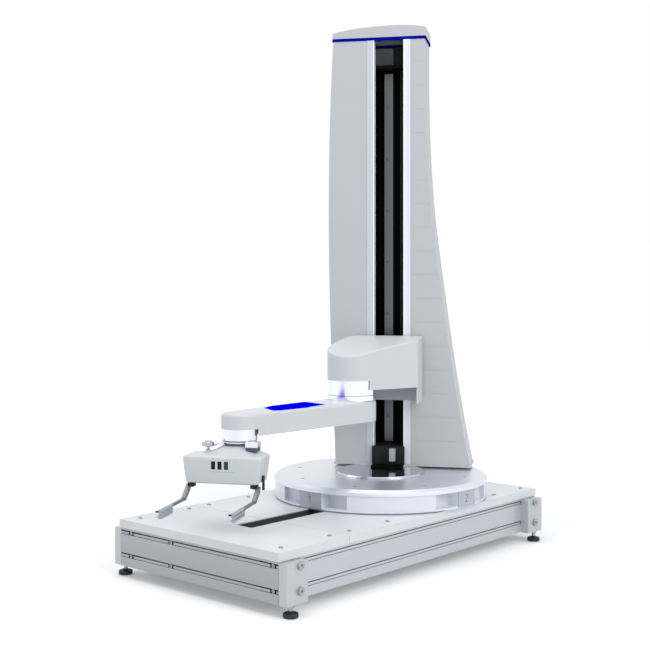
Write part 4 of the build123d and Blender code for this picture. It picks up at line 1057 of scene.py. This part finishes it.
@dataclass
class Carriage(Assembly):
    """Carriage that climbs the tower."""

    finishes: ClassVar[Dressing] = {
        "cover": ("carriage_cover",),
        "grey": ("carriage_bracket",),
        "steel": ("rail_blocks", "screw_nut"),
        "shoulder": ("shoulder_ring",),
        "motor": ("shoulder_motor",),
    }


@dataclass
class Arm(Assembly):
    """Arm between the shoulder and the wrist."""

    finishes: ClassVar[Dressing] = {
        "cover": ("arm_shell", "arm_floor"),
        "panel": ("arm_panel",),
        "shoulder": ("shoulder_collar",),
        "wrist": ("wrist_housing",),
        "motor": ("wrist_motor",),
    }


@dataclass
class Gripper(Assembly):
    """Two-finger gripper under the wrist, drawn reaching along -Y from the wrist axis."""

    finishes: ClassVar[Dressing] = {
        "dark": ("gripper_chassis", "release_lever"),
        "finger": ("finger_left", "finger_right"),
    }
    middle: float = -12.0
    top_width: float = 158.0
    foot_width: float = 142.0
    near: float = -12.0
    far: float = -78.0
    low: float = 206.0
    high: float = 257.5
    wall: float = 3.0
    corner: float = 4.5
    dome: Outline = (
        (62.0, 254.0), (62.0, 257.8), (55.0, 260.0), (47.0, 263.0), (40.0, 266.5), (35.0, 269.5),
        (31.0, 271.2),
    )
    windows: Tuple[float, ...] = (-16.0, -3.2, 9.6)
    window_size: Tuple[float, float, float] = (8.4, 1.5, 15.5)
    window_level: float = 241.0
    window_gap: float = 0.2
    glass_sunk: float = 0.6
    groove: Tuple[float, float, float] = (53.0, 0.9, 1.3)
    groove_level: float = 229.0
    knob_place: Pair = (-58.0, -20.0)
    skirt: Outline = ((9.0, 256.0), (9.0, 257.6), (4.2, 262.6), (4.0, 263.0))
    ring: Outline = (
        (29.0, 276.0), (33.4, 276.1), (34.0, 276.7), (34.0, 279.2), (33.4, 279.8), (29.0, 279.9),
    )
    neck: Outline = ((29.5, 257.6), (29.5, 280.8), (18.0, 280.9), (18.0, 301.0))
    clamp_low: Point = (23.0, -40.0, 270.6)
    clamp_high: Point = (47.3, -13.0, 281.0)
    step_inset: Pair = (1.0, 2.0)
    step_low: float = 263.5
    step_lap: float = 0.5
    lug_start: float = 13.2
    lug_end: float = -24.0
    lug_half: float = 5.0
    lug_levels: Pair = (273.0, 277.0)
    post_place: float = -42.5
    post: Outline = ((2.0, 270.0), (2.2, 270.4), (2.2, 279.0), (1.8, 279.6))
    knob: Outline = (
        (2.6, 256.0), (2.6, 268.6), (11.6, 269.0), (12.4, 269.8), (12.4, 276.2), (11.4, 277.4),
        (7.0, 277.8), (6.6, 279.2), (5.6, 279.8),
    )
    scallops: int = 8
    scallop_reach: float = 14.2
    scallop: Outline = ((2.7, 266.0), (2.7, 281.0))
    block_place: float = 62.5
    block_half: float = 6.5
    block_depth: Pair = (-74.0, -60.0)
    block_levels: Pair = (198.5, 205.8)
    pad_low: Point = (65.3, -214.5, 163.9)
    pad_high: Point = (71.7, -157.6, 180.6)
    pad_grooves: Pair = (169.4, 175.2)
    rib_depth: float = 1.0
    rib_half: float = 1.1
    pin: Outline = ((1.3, 0.0), (1.7, 0.4), (1.7, 6.0), (1.3, 6.4))
    pin_inset: Pair = (0.2, 2.5)
    pins: Tuple[Tuple[float, str], ...] = ((176.6, "dark"), (167.0, "knob"))
    cutter_margin: float = 1.0

    def add(self) -> None:
        """Add the cover, the tool changer, the knob and what the fingers carry."""
        shop = Workshop(self.paint, WRIST_AXIS, GRIPPER_ANGLE)
        self._cover(shop)
        self._changer(shop)
        self._knob(shop)
        self._finger_trim(shop)

    def _cover(self, shop: Workshop) -> None:
        """Cover with tapered ends, open below, that rises to a dome round the wrist.

        Args:
            shop: Where it is modelled.
        """
        half = self.top_width / 2
        share = self.foot_width / self.top_width
        start, stop = self.middle - half, self.middle + half
        cover = shop.block("gripper_shell", (start, self.far, self.low), (stop, self.near, self.high))
        shop.narrow_foot(cover, self.low, share)
        shop.round_edges(cover, self.corner)
        dome = shop.lathe("dome", (0.0, 0.0), self.dome, 96)
        shop.mill(dome, (0.0, self.near - 0.5, 0.0), (0.0, 1.0, 0.0))
        skirt = shop.lathe("skirt", self.knob_place, self.skirt, 32)
        shop.join(cover, dome, skirt)
        inner = shop.block(
            "inside",
            (start + self.wall, self.far + self.wall, self.low - self.corner),
            (stop - self.wall, self.near - self.wall, self.high - self.wall),
        )
        shop.narrow_foot(inner, self.low - self.corner, share)
        shop.cut(cover, inner)
        wide, deep, tall = self.window_size
        gap = self.window_gap
        for number, place in enumerate(self.windows):
            x = self.middle + place
            low = (x - wide / 2, self.far - self.cutter_margin, self.window_level - tall / 2)
            high = (x + wide / 2, self.far + deep, self.window_level + tall / 2)
            shop.cut(cover, shop.block("pocket", low, high))
            glass = shop.block(
                f"window_{number + 1}",
                (low[0] + gap, self.far + self.glass_sunk, low[2] + gap),
                (high[0] - gap, self.far + deep + gap, high[2] - gap),
                gap,
            )
            if number == len(self.windows) - 1:
                shop.hand_over(glass, "green", "window_dark", "gripper", "gripper_windows")
            else:
                shop.hand_over(glass, "smoke", "window_dark", "gripper")
        long, shallow, thick = self.groove
        low = (self.middle - long / 2, self.far - self.cutter_margin, self.groove_level - thick / 2)
        high = (self.middle + long / 2, self.far + shallow, self.groove_level + thick / 2)
        shop.cut(cover, shop.block("groove", low, high))
        shop.hand_over(cover, "cover", "cover_white", "gripper", "gripper_cover")

    def _changer(self, shop: Workshop) -> None:
        """Thin flange on its neck, with the clamp block and the lug of the knob; the neck and the clamp's
        lower step wear a dark colour that is painted shade.

        Args:
            shop: Where it is modelled.
        """
        ring = shop.lathe("tool_ring", (0.0, 0.0), self.ring, 96)
        shop.hand_over(ring, "flange", "polished_disc", "gripper", "tool_flange")
        # Dark neck: painted shade in the gaps above and below the ring.
        neck = shop.lathe("tool_neck", (0.0, 0.0), self.neck, 64)
        shop.hand_over(neck, "neck", "polished_disc", "gripper")
        clamp = shop.block("clamp_block", self.clamp_low, self.clamp_high, 1.2)
        shop.hand_over(clamp, "clamp", "polished_disc", "gripper")
        low, high = self.clamp_low, self.clamp_high
        inset, front = self.step_inset
        step = shop.block(
            "clamp_step",
            (low[0] + inset, low[1] + front, self.step_low),
            (high[0] - inset, high[1], low[2] + self.step_lap),
            0.6,
        )
        # The clamp's lower step wears the dark neck colour as painted shade under the clamp.
        shop.hand_over(step, "neck", "polished_disc", "gripper")
        x, y = self.knob_place
        under, over = self.lug_levels
        left, right = y - self.lug_half, y + self.lug_half
        lug = shop.block("knob_lug", (x + self.lug_start, left, under), (self.lug_end, right, over), 0.6)
        shop.hand_over(lug, "clamp", "polished_disc", "gripper")
        post = shop.lathe("lug_pin", (self.post_place, y), self.post, 20)
        shop.hand_over(post, "clamp", "polished_disc", "gripper")

    def _knob(self, shop: Workshop) -> None:
        """Scalloped thumb knob on its stem.

        Args:
            shop: Where it is modelled.
        """
        knob = shop.lathe("thumb_knob", self.knob_place, self.knob, 72)
        x, y = self.knob_place
        for count in range(self.scallops):
            turn = math.radians(360 / self.scallops * count)
            centre = (x + self.scallop_reach * math.cos(turn), y + self.scallop_reach * math.sin(turn))
            shop.cut(knob, shop.lathe("scallop", centre, self.scallop, 24))
        shop.hand_over(knob, "knob", "polished_disc", "knob", "clamp_knob")

    def _finger_trim(self, shop: Workshop) -> None:
        """Clamping block, ribbed pad and cross pins of each finger.

        Args:
            shop: Where they are modelled.
        """
        for hand, name in ((-1, "left"), (1, "right")):
            stem = self.middle + hand * self.block_place
            block = shop.block(
                f"finger_block_{name}",
                (stem - self.block_half, self.block_depth[0], self.block_levels[0]),
                (stem + self.block_half, self.block_depth[1], self.block_levels[1]),
                1.0,
            )
            shop.hand_over(block, "dark", "ground_steel", f"{name}_finger")
            across = sorted((hand * self.pad_low[0], hand * self.pad_high[0]))
            near, far = self.middle + across[0], self.middle + across[1]
            pad = shop.block(f"ribbed_pad_{name}", (near, *self.pad_low[1:]), (far, *self.pad_high[1:]), 0.8)
            for level in self.pad_grooves:
                for side in (near, far):
                    tool = shop.block(
                        "rib",
                        (side - self.rib_depth, self.pad_low[1] - self.cutter_margin, level - self.rib_half),
                        (side + self.rib_depth, self.pad_high[1] + self.cutter_margin, level + self.rib_half),
                    )
                    shop.cut(pad, tool)
            shop.hand_over(pad, "pad", "pad_grey", f"{name}_finger", f"pad_{name}")
            for number, (level, finish) in enumerate(self.pins):
                pin = shop.lathe(f"cross_pin_{name}_{number + 1}", (0.0, 0.0), self.pin, 20)
                shop.lay(pin, (near + self.pin_inset[0], self.pad_low[1] + self.pin_inset[1], level), "Y")
                shop.hand_over(pin, finish, "ground_steel", f"{name}_finger")


@dataclass
class Studio:
    """Pale floor, soft light and the photograph's camera."""

    camera_place: Point = (1.6107, -1.8702, 0.5855)
    yaw: float = math.radians(41.58)
    lens: float = SENSOR_WIDTH * FOCAL_PIXELS / PHOTO_WIDTH
    shift: float = -(PHOTO_WIDTH / 2 - HORIZON_ROW) / PHOTO_WIDTH
    clip_end: float = 50.0
    lamps: Tuple[Tuple[str, Point, Point, Pair, float], ...] = (
        ("key", (3.2, -0.6, 2.4), (0.0, 0.0, 0.4), (2.2, 2.2), 62.0),
        ("top", (-0.3, -0.6, 3.2), (0.0, 0.0, 0.2), (3.0, 3.0), 48.0),
        ("fill", (-2.4, -2.6, 1.4), (0.0, 0.0, 0.5), (2.0, 2.0), 14.0),
    )
    floor_size: float = 14.0
    floor_level: float = -0.0005
    glow_reach: Pair = (0.7, 2.4)
    near_glow: float = 0.24
    far_glow: float = 0.68

    def build(self) -> None:
        """Make the camera, the lamps, the world and the floor."""
        self._camera()
        self._lamps()
        self._world()
        self._floor()

    def _camera(self) -> None:
        """Level camera with a shifted lens."""
        data = bpy.data.cameras.new("camera")
        data.lens = self.lens
        data.sensor_width = SENSOR_WIDTH
        data.shift_y = self.shift
        data.clip_end = self.clip_end
        camera = bpy.data.objects.new("camera", data)
        camera.location = self.camera_place
        camera.rotation_euler = (QUARTER_TURN, 0.0, self.yaw)
        bpy.context.scene.collection.objects.link(camera)
        bpy.context.scene.camera = camera

    def _lamp(self, name: str, place: Point, target: Point, size: Pair, power: float) -> None:
        """Large soft lamp.

        Args:
            name: Name of the lamp.
            place: Where it hangs.
            target: The point that it faces.
            size: Width and height in metres.
            power: Power in watts.
        """
        data = bpy.data.lights.new(name, "AREA")
        data.shape = "RECTANGLE"
        data.size, data.size_y = size
        data.energy = power
        lamp = bpy.data.objects.new(name, data)
        lamp.location = place
        lamp.rotation_euler = (Vector(target) - Vector(place)).to_track_quat("-Z", "Y").to_euler()
        bpy.context.scene.collection.objects.link(lamp)

    def _lamps(self) -> None:
        """Key from the right, broad top light and a weak fill from the left."""
        for lamp in self.lamps:
            self._lamp(*lamp)

    def _world(self) -> None:
        """Even pale surroundings, white where the camera or a mirror sees them."""
        world = bpy.data.worlds.new("studio")
        world.use_nodes = True
        bpy.context.scene.world = world
        shader = Shader(world.node_tree)
        seen = shader.seen()
        even = shader.node("ShaderNodeBackground", None, {"Color": (0.93, 0.96, 1.0, 1.0), "Strength": 0.55})
        white = shader.node("ShaderNodeBackground", None, {"Color": (1.0, 1.0, 1.0, 1.0), "Strength": 1.0})
        both = shader.node("ShaderNodeMixShader", None, {0: seen, 1: even, 2: white})
        shader.node_output(both, "ShaderNodeOutputWorld")

    def _floor(self) -> None:
        """Pale floor that keeps the object's shadow."""
        bpy.ops.object.select_all(action="DESELECT")
        bpy.ops.mesh.primitive_plane_add(size=self.floor_size, location=(0.0, 0.0, self.floor_level))
        floor = bpy.context.object
        floor.name = "floor"
        shader, made = Shader.material("floor white")
        seen = shader.seen()
        matt = shader.node("ShaderNodeBsdfDiffuse", None, {"Color": (0.78, 0.78, 0.79, 1.0)})
        flat = shader.node("ShaderNodeVectorMath", {"operation": "LENGTH"}, {0: shader.place()}, "Value")
        near, far = self.glow_reach
        ends = {0: flat, 1: near, 2: far, 3: self.near_glow, 4: self.far_glow}
        strength = seen * shader.node("ShaderNodeMapRange", None, ends)
        glow = shader.node("ShaderNodeEmission", None, {"Color": (1.0, 1.0, 1.0, 1.0), "Strength": strength})
        both = shader.node("ShaderNodeAddShader", None, {0: matt, 1: glow})
        shader.node_output(both)
        floor.data.materials.append(made)
        floor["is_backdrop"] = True


def write_size(before: object) -> None:
    """Turn the box of the frame and of the finished model into JSON text, which is not kept.
    """

    def plain(value: object) -> object:
        """Value as nested lists of numbers."""
        return [plain(part) for part in value] if hasattr(value, "__len__") else float(value)

    json.dumps({"cad": plain(before), "visual": plain(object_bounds())})


def main() -> None:
    """Build every sub-assembly in order, then the studio."""
    logging.basicConfig(level=logging.INFO, format="%(name)s: %(message)s")
    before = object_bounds()
    bpy.context.scene.view_settings.view_transform = "Standard"
    paint = Paintbox()
    for part in (BaseFrame(paint), Dock(paint), Tower(paint), Carriage(paint), Arm(paint), Gripper(paint)):
        part.build()
        LOG.info("%s is done", type(part).__name__)
    Studio().build()
    write_size(before)


if __name__ == "__main__":
    main()
